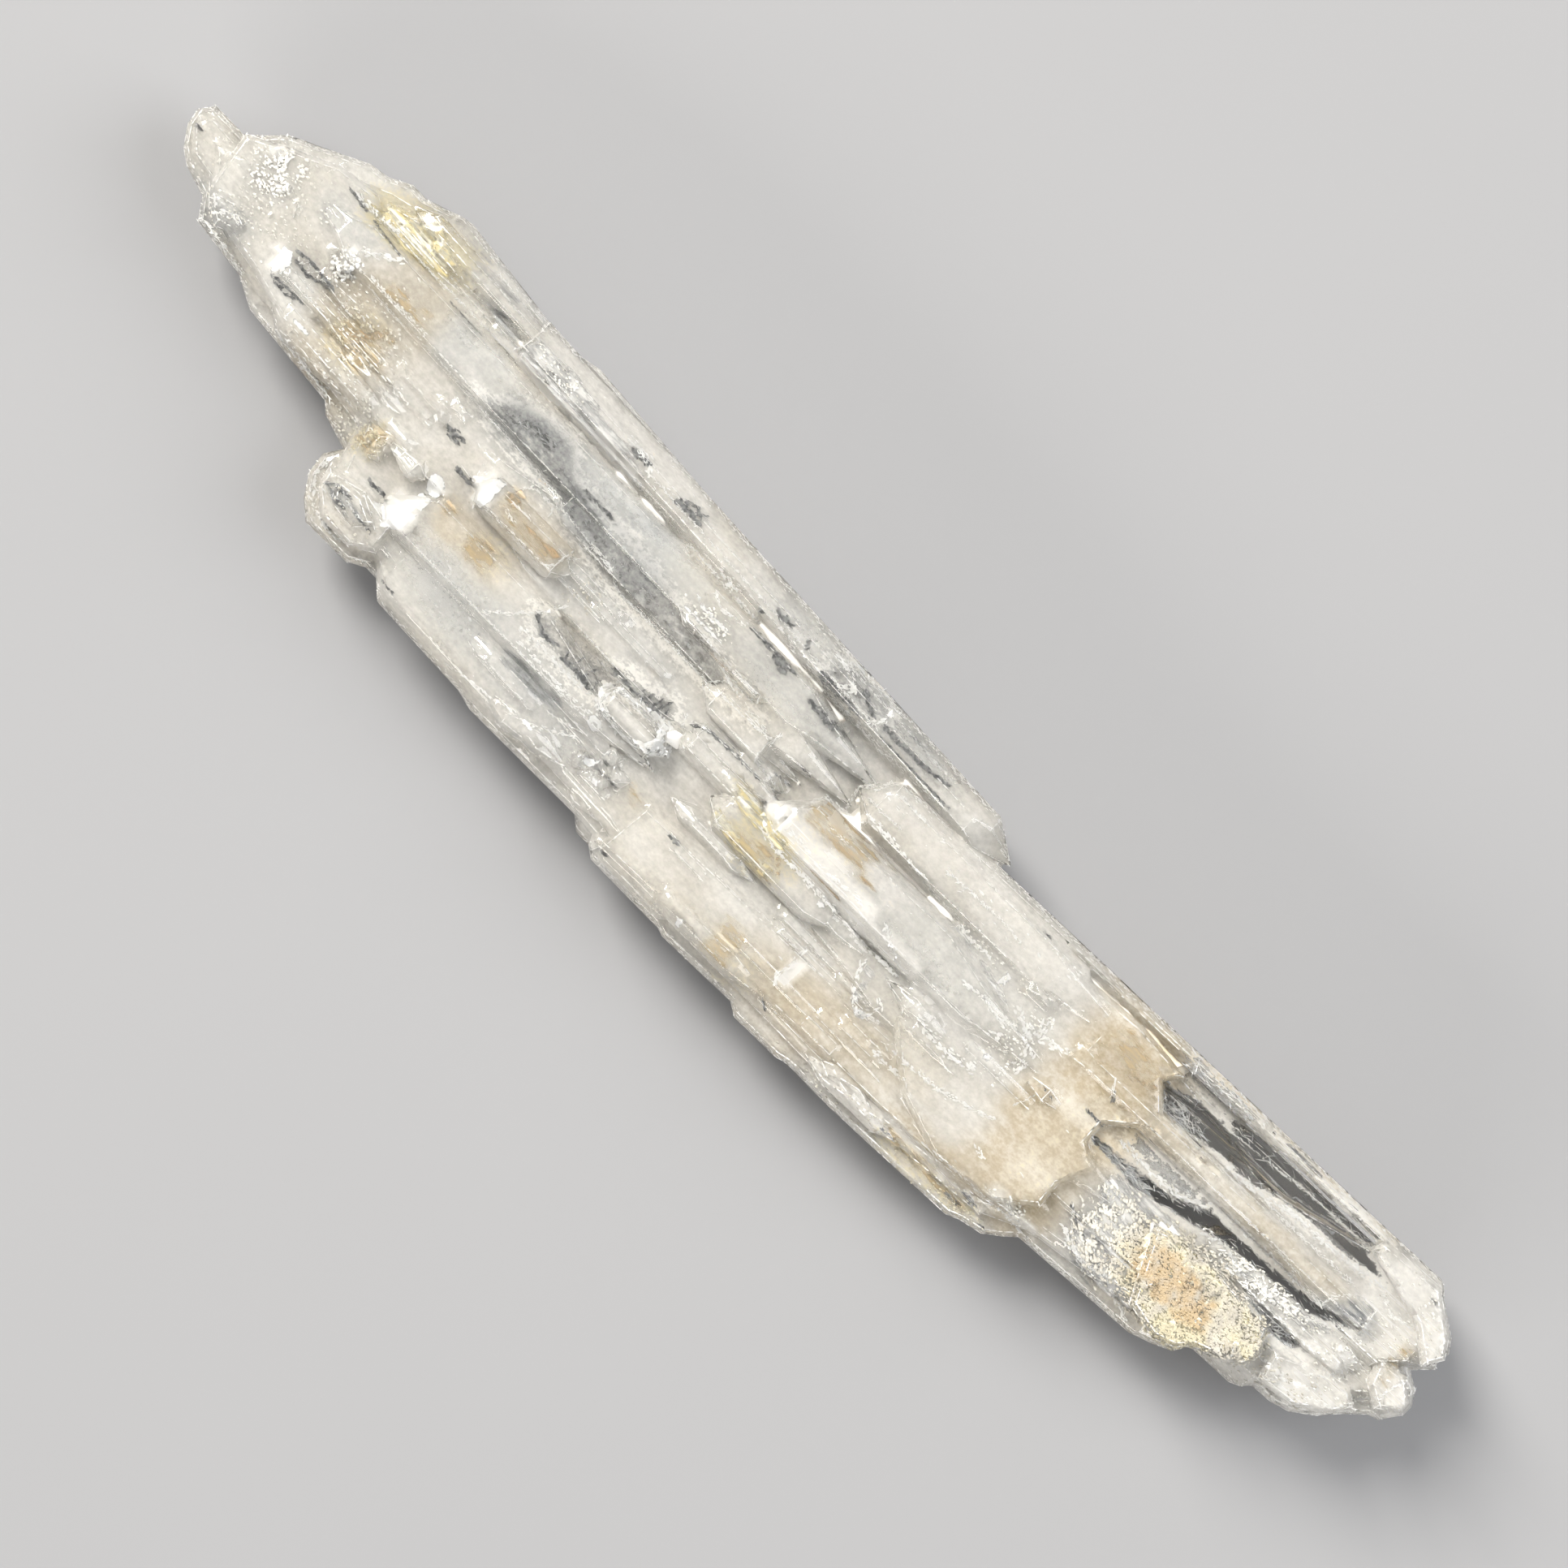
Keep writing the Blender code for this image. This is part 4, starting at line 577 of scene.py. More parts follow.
class Value:
    """A number in a node tree: Python's operators add Math nodes."""

    def __init__(self, tree, socket):
        self.tree, self.socket = tree, socket

    def _maths(self, operation, *others, clamp=False):
        node = self.tree.nodes.new("ShaderNodeMath")
        node.operation, node.use_clamp = operation, clamp
        for socket, value in zip(node.inputs, others):
            if isinstance(value, Value):
                self.tree.links.new(value.socket, socket)
            else:
                socket.default_value = value
        return Value(self.tree, node.outputs[0])

    def __add__(self, other):
        return self._maths("ADD", self, other)

    def __sub__(self, other):
        return self._maths("SUBTRACT", self, other)

    def __rsub__(self, other):
        return self._maths("SUBTRACT", other, self)

    def __mul__(self, other):
        return self._maths("MULTIPLY", self, other)

    def clamped(self):
        return self._maths("ADD", self, 0.0, clamp=True)

    __radd__, __rmul__ = __add__, __mul__


class Paint:
    """A material under construction."""

    def __init__(self, name):
        self.material = bpy.data.materials.new(name)
        self.material.use_nodes = True
        self.tree = self.material.node_tree
        self.shader = self.tree.nodes["Principled BSDF"]
        self.output = self.tree.nodes["Material Output"]

    def plug(self, socket, value):
        """Sets a socket to a plain value or links it. Plain colours are opaque."""
        if isinstance(value, Value):
            self.tree.links.new(value.socket, socket)
        elif isinstance(value, bpy.types.NodeSocket):
            self.tree.links.new(value, socket)
        else:
            socket.default_value = (*value, 1.0) if socket.type == "RGBA" else value

    def set(self, **inputs):
        """Sets or links the Principled shader's sockets."""
        for name, value in inputs.items():
            self.plug(self.shader.inputs[name.replace("_", " ")], value)

    def add(self, kind, settings=None, output=0, numbered=None, **named):
        """Adds a node: its settings first, then the values or links of its sockets, by number or name."""
        node = self.tree.nodes.new(kind)
        for name, value in (settings or {}).items():
            setattr(node, name, value)
        for number, value in (numbered or {}).items():
            self.plug(node.inputs[number], value)
        for name, value in named.items():
            self.plug(node.inputs[name.replace("_", " ")], value)
        socket = node.outputs[output]
        return Value(self.tree, socket) if socket.type == "VALUE" else socket

    def kept(self, name, output="Fac"):
        """What is stored on the mesh under this name: a number, unless another output is asked for."""
        return self.add("ShaderNodeAttribute", {"attribute_name": name}, output)

    def place(self):
        """Object coordinates."""
        return self.add("ShaderNodeTexCoord", None, "Object")

    def grain(self, *squeeze):
        """The stored fan coordinates, squeezed along, across and up so that noise makes streaks."""
        stored = self.kept("grain", "Vector")
        return self.add("ShaderNodeVectorMath", {"operation": "MULTIPLY"}, "Vector", {0: stored, 1: squeeze})

    def fog(self, vector, scale, detail, roughness):
        """Fractal noise round 0.5."""
        return self.add(
            "ShaderNodeTexNoise", None, "Fac", Vector=vector, Scale=scale, Detail=detail, Roughness=roughness
        )

    def step(self, value, start, end):
        """Smoothly 0 below start and 1 above end."""
        return self.add(
            "ShaderNodeMapRange", {"interpolation_type": "SMOOTHSTEP"},
            Value=value, From_Min=start, From_Max=end,
        )

    def blend(self, share, first, second):
        """A colour between two."""
        return self.add("ShaderNodeMix", {"data_type": "RGBA"}, 2, {0: share, 6: first, 7: second})


# ---------------------------------------------------------------- settings


def tint(name, description, default):
    return FloatVectorProperty(
        name=name, description=description, size=3, subtype="COLOR", min=0.0, max=1.0, default=default
    )


class QuartzSettings(bpy.types.PropertyGroup):
    """What a user would change about the crystals."""

    milk: tint("Milk", "Whitest part of the cloudy quartz", (0.96, 0.94, 0.89))
    body: tint("Body", "Ordinary cloudy quartz", (0.9, 0.86, 0.78))
    cream: tint("Cream", "Matt, creamy growth", (0.8, 0.69, 0.5))
    shade: tint("Shade", "Thin cloud with clear quartz under it", (0.62, 0.64, 0.65))
    yellow: tint("Yellow", "Pale iron stain", (0.86, 0.76, 0.46))
    rust: tint("Rust", "Strong iron stain", (0.62, 0.4, 0.18))
    cell: FloatProperty(
        name="Cell", description="Spacing of the cuts that let the skin take its relief",
        default=0.22 * MM, min=0.1 * MM, max=1 * MM, unit="LENGTH",
    )
    relief: FloatProperty(
        name="Relief", description="Depth of the etched relief on rough growth",
        default=0.06 * MM, min=0.0, max=0.15 * MM, unit="LENGTH",
    )
    needles: IntProperty(
        name="Needles", description="Needles in the fringes of the clear windows",
        default=5600, min=0, max=12000,
    )
    flecks: IntProperty(
        name="Flecks", description="Bright flecks and cracks under the skin",
        default=2600, min=0, max=12000,
    )
    crystals: IntProperty(
        name="Crust crystals", description="Tiny crystals on the rough growth",
        default=7200, min=0, max=8000,
    )


class StageSettings(bpy.types.PropertyGroup):
    """What a user would change about the stage."""

    floor: tint("Floor", "Colour of the floor", (0.29, 0.29, 0.295))
    key_power: FloatProperty(
        name="Key light", description="Power of the main soft light, in watts", default=5.3, min=0.0
    )
    sky_strength: FloatProperty(
        name="Sky", description="Strength of the even light from all round", default=0.345, min=0.0
    )


# ---------------------------------------------------------------- meshes


def per_corner(piece, field="co"):
    """The vertices' places, or their normals, as an array."""
    flat = np.empty(len(piece.data.vertices) * 3)
    piece.data.vertices.foreach_get(field, flat)
    return flat.reshape(-1, 3)


def put_corners(piece, places):
    piece.data.vertices.foreach_set("co", np.ascontiguousarray(places, np.float32).ravel())
    piece.data.update()


def store(piece, name, values, kind="FLOAT", field="value"):
    """Keeps a number at each vertex, or a vector or a colour, for a material to read."""
    layer = piece.data.attributes.new(name, kind, "POINT")
    layer.data.foreach_set(field, np.ascontiguousarray(values, np.float32).ravel())


def store_grain(piece, places):
    """Keeps a vector that runs along the fan of crystals, so that streaks follow their spread."""
    along, across = along_of(places[:, 0]), across_of(places[:, 1])
    up = (places[:, 2] - LOW[2]) / MM
    store(piece, "grain", np.stack([along, across - fan_rise(along), up], axis=1), "FLOAT_VECTOR", "vector")


def deselect_all():
    for piece in bpy.context.selected_objects:
        piece.select_set(False)


def activate(piece):
    """Makes this the only selected and active object."""
    deselect_all()
    piece.select_set(True)
    bpy.context.view_layer.objects.active = piece


@contextmanager
def edit_mode():
    """Edit mode for the active object."""
    bpy.ops.object.mode_set(mode="EDIT")
    yield
    bpy.ops.object.mode_set(mode="OBJECT")


def deselect_mesh():
    """Deselects the whole of the active mesh, so that some of its faces or corners can be picked."""
    with edit_mode():
        bpy.ops.mesh.select_all(action="DESELECT")
        bpy.ops.mesh.select_mode(type="VERT")


def apply_modifier(piece, kind, **settings):
    """Adds a modifier to the active piece and applies it."""
    modifier = piece.modifiers.new(kind.capitalize(), kind)
    for name, value in settings.items():
        setattr(modifier, name, value)
    bpy.ops.object.modifier_apply(modifier=modifier.name)


def linked(name, data):
    """A new object in the scene with this mesh, light or camera."""
    piece = bpy.data.objects.new(name, data)
    bpy.context.scene.collection.objects.link(piece)
    return piece


def mesh_of(name, corners, faces):
    mesh = bpy.data.meshes.new(name)
    mesh.from_pydata(corners, [], faces)
    return linked(name, mesh)


def finish(piece, material, stands_for_cluster=False):
    """Gives the piece its material, and tells the frame what it rides on."""
    piece.data.materials.append(material)
    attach(piece, BODY)
    if stands_for_cluster:
        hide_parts(CLUSTER)


def merged_copy(name):
    """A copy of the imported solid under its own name, its loose triangles joined and flat faces made whole."""
    piece = linked(name, bpy.data.objects[CLUSTER].data.copy())
    piece.data.materials.clear()
    activate(piece)
    with edit_mode():
        bpy.ops.mesh.select_all(action="SELECT")
        bpy.ops.mesh.remove_doubles(threshold=MERGE_GAP)
        bpy.ops.mesh.dissolve_limited(angle_limit=COPLANAR)
    return piece


def cut_into_cells(cell):
    """Cuts the active piece's faces along an even grid, which keeps every edge where it is."""
    with edit_mode():
        for axis, stretch in enumerate((1, 1, 1.5)):
            normal, centre = [0.0, 0.0, 0.0], [0.0, 0.0, 0.0]
            normal[axis] = 1.0
            step = cell * stretch
            for count in range(1, int((HIGH[axis] - LOW[axis]) / step) + 1):
                centre[axis] = LOW[axis] + step * count - CUT_SHIFT * step
                bpy.ops.mesh.select_all(action="SELECT")
                bpy.ops.mesh.bisect(plane_co=centre, plane_no=normal, threshold=MERGE_GAP)
        bpy.ops.mesh.select_all(action="SELECT")
        bpy.ops.mesh.quads_convert_to_tris(quad_method="BEAUTY", ngon_method="BEAUTY")


def fractal(places, size, octaves=3):
    """Smooth noise of about -1 to 1 at each place."""
    return np.array([
        noise.fractal(Vector(place) / size, 1.0, 2.0, octaves, noise_basis="PERLIN_ORIGINAL")
        for place in places
    ])


def inset_between(places, least, more, size):
    """How deep each place sinks: by the least inset, and by up to this much more in cloudy patches."""
    return (least + more * np.clip(0.5 + 0.8 * fractal(places, size), 0, 1))[:, None]


def skin_tree():
    """The clear skin's faces, ready for finding where a ray meets them."""
    return BVHTree.FromObject(bpy.data.objects["Clear_skin"], bpy.context.evaluated_depsgraph_get())


def top_of(tree, along, across):
    """Where a line from above meets the surface, and its normal there, or None."""
    place, normal, _, _ = tree.ray_cast(spot(along, across, THICKNESS + 1), DOWN)
    return None if place is None else (place, normal)


def depth_under(tree, place):
    """How thick the solid is straight below a place on its top."""
    below, _, _, _ = tree.ray_cast(place + 0.01 * MM * DOWN, DOWN)
    return 0.0 if below is None else place.z - below.z


def scatter(name, seed, placings):
    """One mesh of many copies of the seed, each with its own matrix. The seed is removed."""
    corners = per_corner(seed)
    faces = [list(face.vertices) for face in seed.data.polygons]
    sheet = np.concatenate([corners, np.ones((len(corners), 1))], axis=1)
    matrices = np.array([[list(row) for row in placing] for placing in placings])
    placed = np.einsum("nij,kj->nki", matrices, sheet)[:, :, :3].reshape(-1, 3)
    joined = [
        [corner + copy * len(corners) for corner in face] for copy in range(len(placings)) for face in faces
    ]
    bpy.data.objects.remove(seed)
    return mesh_of(name, np.clip(placed, LOW, HIGH).tolist(), joined)


def hexagonal_seed(name, taper):
    """A six-sided crystal one unit long along X and one wide, with a pointed cap at each end."""
    deselect_all()
    bpy.ops.mesh.primitive_cylinder_add(vertices=6, radius=0.5, depth=1 - 2 * taper)
    seed = bpy.context.object
    seed.name = name
    with edit_mode():
        for side in (1, -1):
            bpy.ops.mesh.select_all(action="DESELECT")
            bpy.ops.object.mode_set(mode="OBJECT")
            for face in seed.data.polygons:
                face.select = face.normal.z * side > 0.9
            bpy.ops.object.mode_set(mode="EDIT")
            bpy.ops.mesh.extrude_region_move(TRANSFORM_OT_translate={"value": (0, 0, side * taper)})
            bpy.ops.mesh.merge(type="CENTER")
    seed.data.transform(Matrix.Rotation(math.radians(90), 4, "Y"))
    return seed


def flake_seed(name):
    """An irregular splinter of twenty faces, about one unit long, wide and thick."""
    deselect_all()
    bpy.ops.mesh.primitive_ico_sphere_add(subdivisions=1, radius=0.5)
    seed = bpy.context.object
    seed.name = name
    with edit_mode():
        bpy.ops.mesh.select_all(action="SELECT")
        bpy.ops.transform.vertex_random(offset=0.16, seed=SEED)
    return seed


def lying(place, along, normal, size, spin=0.0):
    """A matrix that lays a unit shape along a direction with its back to a normal, at a size."""
    run = Vector(along).normalized()
    rise = Vector(normal) - run * run.dot(normal)
    if rise.length < 1e-6:
        rise = run.orthogonal()
    rise.normalize()
    turn = Matrix((run, rise.cross(run), rise)).transposed().to_4x4()
    spun = Matrix.Rotation(spin, 4, "X")
    return Matrix.Translation(place) @ turn @ spun @ Matrix.Diagonal((*size, 1.0))


def place_in(patch, chance):
    """A random place in a patch, even over its area but for a thin scatter at its rim."""
    angle, edge = chance.uniform(0, math.tau), math.sqrt(chance.random()) * chance.uniform(0.7, 1.25)
    run, rise = patch.reach * edge * math.cos(angle), patch.breadth * edge * math.sin(angle)
    turn = math.radians(patch.turn)
    along = patch.along + run * math.cos(turn) - rise * math.sin(turn)
    across = patch.across + run * math.sin(turn) + rise * math.cos(turn)
    return along, across


def place_on_rim(outline, chance):
    """A random place near an outline's rim."""
    number = chance.randrange(len(outline))
    start, end = Vector(outline[number - 1]), Vector(outline[number])
    along, across = start.lerp(end, chance.random())
    return along + chance.gauss(0, 0.12), across + chance.gauss(0, 0.07)


def splinters_along(routes, tree, chance, step, boldness=1.0):
    """Matrices for the splinters of some veins: fine ones crowd a narrow vein, coarse ones a broad one."""
    placings = []
    for vein in routes:
        for start, end in zip(vein.route, vein.route[1:]):
            run = Vector(end) - Vector(start)
            for _ in range(max(3, int(run.length / step))):
                along, across = Vector(start) + run * chance.random()
                along += chance.gauss(0, vein.breadth * 0.5)
                found = top_of(tree, along, across + chance.gauss(0, vein.breadth * 0.5))
                if found is None or found[1].z < STEEPEST_VEIN:
                    continue
                place, normal = found
                width = min(0.09, vein.breadth * boldness * chance.uniform(0.35, 1.0))
                size = ((width + chance.uniform(0.03, 0.14)) * MM, width * MM, SPLINTER_DEPTH)
                way = Matrix.Rotation(chance.gauss(0, 0.35), 3, "Z") @ run.to_3d()
                sunk = normal * chance.uniform(0.02, 0.05) * MM
                placings.append(lying(place - sunk, way, normal, size, chance.gauss(0, 0.4)))
    return placings


def rim_light_splinters(tree, chance):
    """Matrices for the white splinters along the outline as seen from above: a painted rim light."""
    rim = []
    for along in np.arange(RIM_STEP, LENGTH, RIM_STEP):
        for side in (1, -1):
            for across in np.arange(OUTSIDE, -OUTSIDE, -PROBE_STEP) * side:
                if top_of(tree, along, across):
                    rim.append((along, across, side))
                    break
    placings = []
    for _ in range(RIM_LIGHT_SPLINTERS):
        along, across, side = chance.choice(rim)
        found = top_of(tree, along, across - side * abs(chance.gauss(0, 0.06)))
        if found is None:
            continue
        place, normal = found
        size = (chance.uniform(0.06, 0.2) * MM, chance.uniform(0.02, 0.05) * MM, SPLINTER_DEPTH)
        way = fan_direction(along, chance.gauss(0, 0.3))
        placings.append(lying(place - normal * 0.03 * MM, way, normal, size, chance.gauss(0, 0.4)))
    return placings


def splinters_on_edges(form, chance):
    """Matrices for the white splinters along the sharp edges of a form that don't face down: partly bruised
    quartz, partly a painted highlight on the edges.
    """
    placings = []
    for edge in form.edges:
        if len(edge.link_faces) != 2 or not edge.is_convex or edge.calc_length() < SHORTEST_EDGE:
            continue
        if edge.calc_face_angle() < FLATTEST_EDGE:
            continue
        normal = (edge.link_faces[0].normal + edge.link_faces[1].normal).normalized()
        if normal.z < LOWEST_EDGE:
            continue
        start, end = (corner.co for corner in edge.verts)
        way = end - start
        count = int(way.length / EDGE_STEP)
        for number in range(count):
            place = start.lerp(end, (number + chance.random()) / count)
            if noise.noise(place / (1.3 * MM)) + chance.gauss(0, 0.2) < -0.2:
                continue
            size = chance.uniform(0.08, 0.3) * MM
            width = chance.uniform(0.015, 0.045) * MM
            sunk = normal * (0.012 * MM + 0.6 * width)
            placings.append(lying(place - sunk, way, normal, (size, width, width), chance.uniform(0, 3)))
    return placings


def draped(name, shapes, depth, tree):
    """Thin sheets with these outlines, laid a little under the top of the surface that the tree holds."""
    corners = [spot(along, across, 0) for shape in shapes for along, across in shape]
    faces, first = [], 0
    for shape in shapes:
        faces.append(list(range(first, first + len(shape))))
        first += len(shape)
    piece = mesh_of(name, corners, faces)
    activate(piece)
    cut_into_cells(SHEET_CELL)
    places = per_corner(piece)
    for place in places:
        below, _, _, _ = tree.ray_cast(Vector((place[0], place[1], HIGH[2] + MM)), DOWN)
        place[2] = LOW[2] + MM if below is None else below.z - depth
    put_corners(piece, places)
    deselect_mesh()
    for face in piece.data.polygons:
        face.select = abs(face.normal.z) < STEEPEST_SHEET
    with edit_mode():
        bpy.ops.mesh.delete(type="FACE")
    places = per_corner(piece)
    along, across = along_of(places[:, 0]), across_of(places[:, 1])
    store(piece, "rim", np.max([depth_in(shape, along, across) for shape in shapes], axis=0))
    apply_modifier(piece, "SOLIDIFY", thickness=SHEET_THICKNESS, offset=0.0)
    return piece


# ---------------------------------------------------------------- finishes


def quartz_finish():
    """Clear quartz: glass with fine lengthwise growth lines, etched where the growth is rough."""
    paint = Paint("Clear quartz")
    rough = paint.kept("rough")
    etching = paint.fog(paint.grain(1.0, 1.0, 1.0), 8.0, 3.0, 0.7)
    lines = paint.fog(paint.grain(0.25, 6.0, 4.5), 1.0, 3.0, 0.65)
    dull = paint.step(lines, 0.5, 0.75)
    height = lines * 0.5 + etching * (rough * 1.6 + 0.1)
    bump = paint.add("ShaderNodeBump", None, "Normal", Height=height, Strength=0.55, Distance=0.012 * MM)
    paint.set(
        Base_Color=(0.99, 0.99, 0.985), IOR=QUARTZ_IOR, Transmission_Weight=1.0,
        Roughness=(rough * 0.3 + dull * 0.06 + 0.015).clamped(), Normal=bump,
    )
    tinge = paint.add("ShaderNodeVolumeAbsorption", None, "Volume", Color=(0.97, 0.95, 0.9), Density=60.0)
    paint.tree.links.new(tinge, paint.output.inputs["Volume"])
    return paint.material


def veil_finish(settings):
    """Cloudy quartz just under the skin: lengthwise feathers of cream and white, gone in the windows."""
    paint = Paint("Milk veil")
    gap, haze, thick = paint.kept("gap"), paint.kept("haze"), paint.kept("thick")
    feathers = (paint.fog(paint.grain(0.8, 5.0, 4.0), 1.0, 2.0, 0.6) - 0.5) * paint.kept("streaks")
    grit = paint.fog(paint.grain(1.0, 1.35, 1.2), 5.0, 2.0, 0.7) - 0.5
    bright = paint.step(feathers * 0.7 + grit * 0.9 + thick * 0.25, 0.1, 0.5)
    colour = paint.blend(bright * 0.7, paint.kept("tone", "Color"), settings.milk)
    stain = paint.step(paint.kept("yellow") + grit * 1.3 + feathers * 0.9, 0.3, 1.1)
    colour = paint.blend(stain * 0.75, colour, settings.yellow)
    spots = paint.step(paint.kept("rust") + grit * 1.5 + feathers * 1.5, 0.4, 1.15)
    colour = paint.blend(spots * 0.8, colour, settings.rust)
    ragged = gap + (feathers * 0.3 + grit * 0.24) * (haze * 6.0 + 1.0)
    open_share = paint.step(ragged, -0.05, 0.05)
    rim = paint.step(ragged, -0.4, -0.1)
    cloud = (thick * 0.62 + feathers * 0.45 + grit * 0.5 + rim * 0.35 + 0.06).clamped()
    left = (haze * (1.0 + feathers * 2.4 + grit * 2.4)).clamped()
    alpha = cloud * (1 - open_share) + left * open_share
    paint.set(Base_Color=colour, Roughness=1.0, Specular_IOR_Level=0.0, Alpha=alpha.clamped())
    return paint.material


def heart_finish():
    """Dense cloudy quartz deep in the crystals."""
    paint = Paint("Milk heart")
    feathers = paint.fog(paint.grain(0.7, 4.0, 3.0), 1.0, 1.0, 0.6) - 0.5
    colour = paint.blend(
        paint.step(feathers, -0.1, 0.25) * 0.5, paint.kept("tone", "Color"), (0.97, 0.96, 0.94)
    )
    paint.set(Base_Color=colour, Roughness=1.0, Specular_IOR_Level=0.0)
    return paint.material


def frost_and_painted_light_finish(name, low, high, size, fades=False):
    """Frosted quartz for needles, bruised edges, veins and buried faces, also used for painted highlights and
    for the painted shade in clear slits; the rims can fade out.
    """
    paint = Paint(name)
    blots = paint.fog(paint.place(), 1 / size, 1.0, 0.6)
    paint.set(
        Base_Color=paint.blend(paint.step(blots, 0.35, 0.65), low, high),
        Roughness=0.35, Specular_IOR_Level=0.6,
    )
    if fades:
        paint.set(Alpha=paint.step(paint.kept("rim") * 8 + blots, 0.45, 0.75))
    return paint.material


def stain_finish(name, colour, pale, strength, reach):
    """A patchy film drawn out along the crystals. With a larger reach it stays strong nearer to its rim."""
    paint = Paint(name)
    drawn_out = paint.add(
        "ShaderNodeMapping", None, "Vector", Vector=paint.place(), Scale=(1300.0, 5200.0, 3000.0)
    )
    blots = paint.fog(drawn_out, 1.0, 3.0, 0.65)
    share = paint.step(paint.kept("rim") * reach + blots, 0.45, 1.05) * (blots * 3.2 - 0.7) * strength
    paint.set(
        Base_Color=paint.blend(paint.step(blots, 0.42, 0.66), pale, colour), Roughness=0.8,
        Specular_IOR_Level=0.1, Alpha=share.clamped(),
    )
    return paint.material


def crust_finish(settings):
    """Tiny cloudy crystals, stained in patches."""
    paint = Paint("Crust crystals")
    clouds = paint.fog(paint.place(), 2200.0, 2.0, 0.6)
    stain = paint.step(paint.kept("yellow") + (clouds - 0.5) * 1.5, 0.2, 0.9)
    yellow, rust = ([CRUST_STAIN * part for part in stained] for stained in (settings.yellow, settings.rust))
    colour = paint.blend(paint.step(clouds, 0.35, 0.65), CRUST_LOW, CRUST_HIGH)
    colour = paint.blend(paint.kept("white").clamped(), colour, CRUST_WHITE)
    colour = paint.blend(stain * 0.6, colour, yellow)
    spots = paint.step(paint.kept("rust") + (clouds - 0.5) * 1.8, 0.3, 1.0)
    colour = paint.blend(spots * 0.6, colour, rust)
    paint.set(Base_Color=colour, Roughness=0.5, IOR=QUARTZ_IOR)
    return paint.material


# ---------------------------------------------------------------- pieces


class QUARTZ_OT_skin(bpy.types.Operator):
    """Makes the clear skin of the crystals, with its etched relief"""

    bl_idname = "quartz.skin"
    bl_label = "Clear skin"

    def execute(self, context):
        settings = context.scene.quartz
        piece = merged_copy("Clear_skin")
        cut_into_cells(settings.cell)
        places, normals = per_corner(piece), per_corner(piece, "normal")
        spread = wavered(places, PATCH_WAVER)
        rough = cover(ROUGH_PATCHES, spread, 0.5)
        coarse, fine = fractal(places, 0.55 * MM), fractal(places, 0.17 * MM, 2)
        depth = settings.relief * rough * (0.5 + 0.5 * coarse + 0.35 * fine)
        depth += GROWTH_RELIEF * (0.5 + 0.5 * fractal(places * (0.3, 1.6, 1.6), 0.5 * MM))
        depth[places[:, 2] < LOW[2] + FOOT] = 0.0
        put_corners(piece, places - normals * np.clip(depth, 0, None)[:, None])
        store(piece, "rough", np.maximum(rough, cover(BRIGHT_PATCHES, spread, 0.3)))
        store_grain(piece, places)
        activate(piece)
        bpy.ops.object.shade_smooth_by_angle(angle=SMOOTH_ANGLE)
        finish(piece, quartz_finish(), True)
        return {"FINISHED"}


def blend_tones(first, second, share):
    """Colours between two, by a share for each row."""
    return first + (np.array(second) - first) * np.clip(share, 0, 1)[:, None]


def store_milk(piece, settings):
    """Keeps what the milk's finish reads: the windows, the cloud's thickness, its tones and stains."""
    places = per_corner(piece)
    gap, haze = openings(*wavered(places, WINDOW_WAVER))
    gap[per_corner(piece, "normal")[:, 2] < 0.1] += FLARE
    spread = wavered(places, PATCH_WAVER)
    stretched = places * (0.35, 1.0, 1.0)
    clouds = fractal(stretched, 1.3 * MM, 4)
    cream, cool = cover(CREAM_PATCHES, spread, 0.8), cover(COOL_PATCHES, spread, 0.8)
    bright = cover(BRIGHT_PATCHES, spread, 0.4)
    tones = blend_tones(np.tile(settings.body, (len(places), 1)), settings.milk, 0.5 + 1.1 * clouds)
    tones = blend_tones(tones, settings.shade, cool * (0.9 - 0.9 * clouds))
    tones = blend_tones(tones, settings.cream, cream * (1.0 - 0.5 * clouds))
    # Partly painted highlight: bright patches turn the tone whitest where facets glare, as well as where the
    # quartz is frosted.
    tones = blend_tones(tones, WHITEST, bright)
    store(piece, "tone", np.pad(tones, ((0, 0), (0, 1)), constant_values=1.0), "FLOAT_COLOR", "color")
    thick = 0.72 + 0.5 * clouds + 0.3 * cream - 0.35 * cool
    for name, values in (
        ("gap", gap),
        ("haze", haze),
        ("thick", np.clip(np.maximum(thick, 1.5 * bright), 0.15, 1.5)),
        ("streaks", np.clip(0.45 + 1.4 * fractal(stretched, 2.1 * MM, 2), 0.1, 1.0)),
        ("yellow", cover(YELLOW_PATCHES, spread, 0.9)),
        ("rust", cover(RUST_PATCHES, spread, 0.9)),
    ):
        store(piece, name, values)
    store_grain(piece, places)


def open_windows(piece):
    """Opens the piece in the clearer windows and gives what is left a thin closed body."""
    gap, haze = (np.empty(len(piece.data.vertices), np.float32) for _ in range(2))
    piece.data.attributes["gap"].data.foreach_get("value", gap)
    piece.data.attributes["haze"].data.foreach_get("value", haze)
    activate(piece)
    deselect_mesh()
    piece.data.vertices.foreach_set("select", (gap > HEART_MARGIN + haze * 0.5) & (haze < HAZIEST_OPENING))
    with edit_mode():
        bpy.ops.mesh.delete(type="VERT")
    apply_modifier(piece, "SOLIDIFY", thickness=HEART_WALL, offset=-1.0)


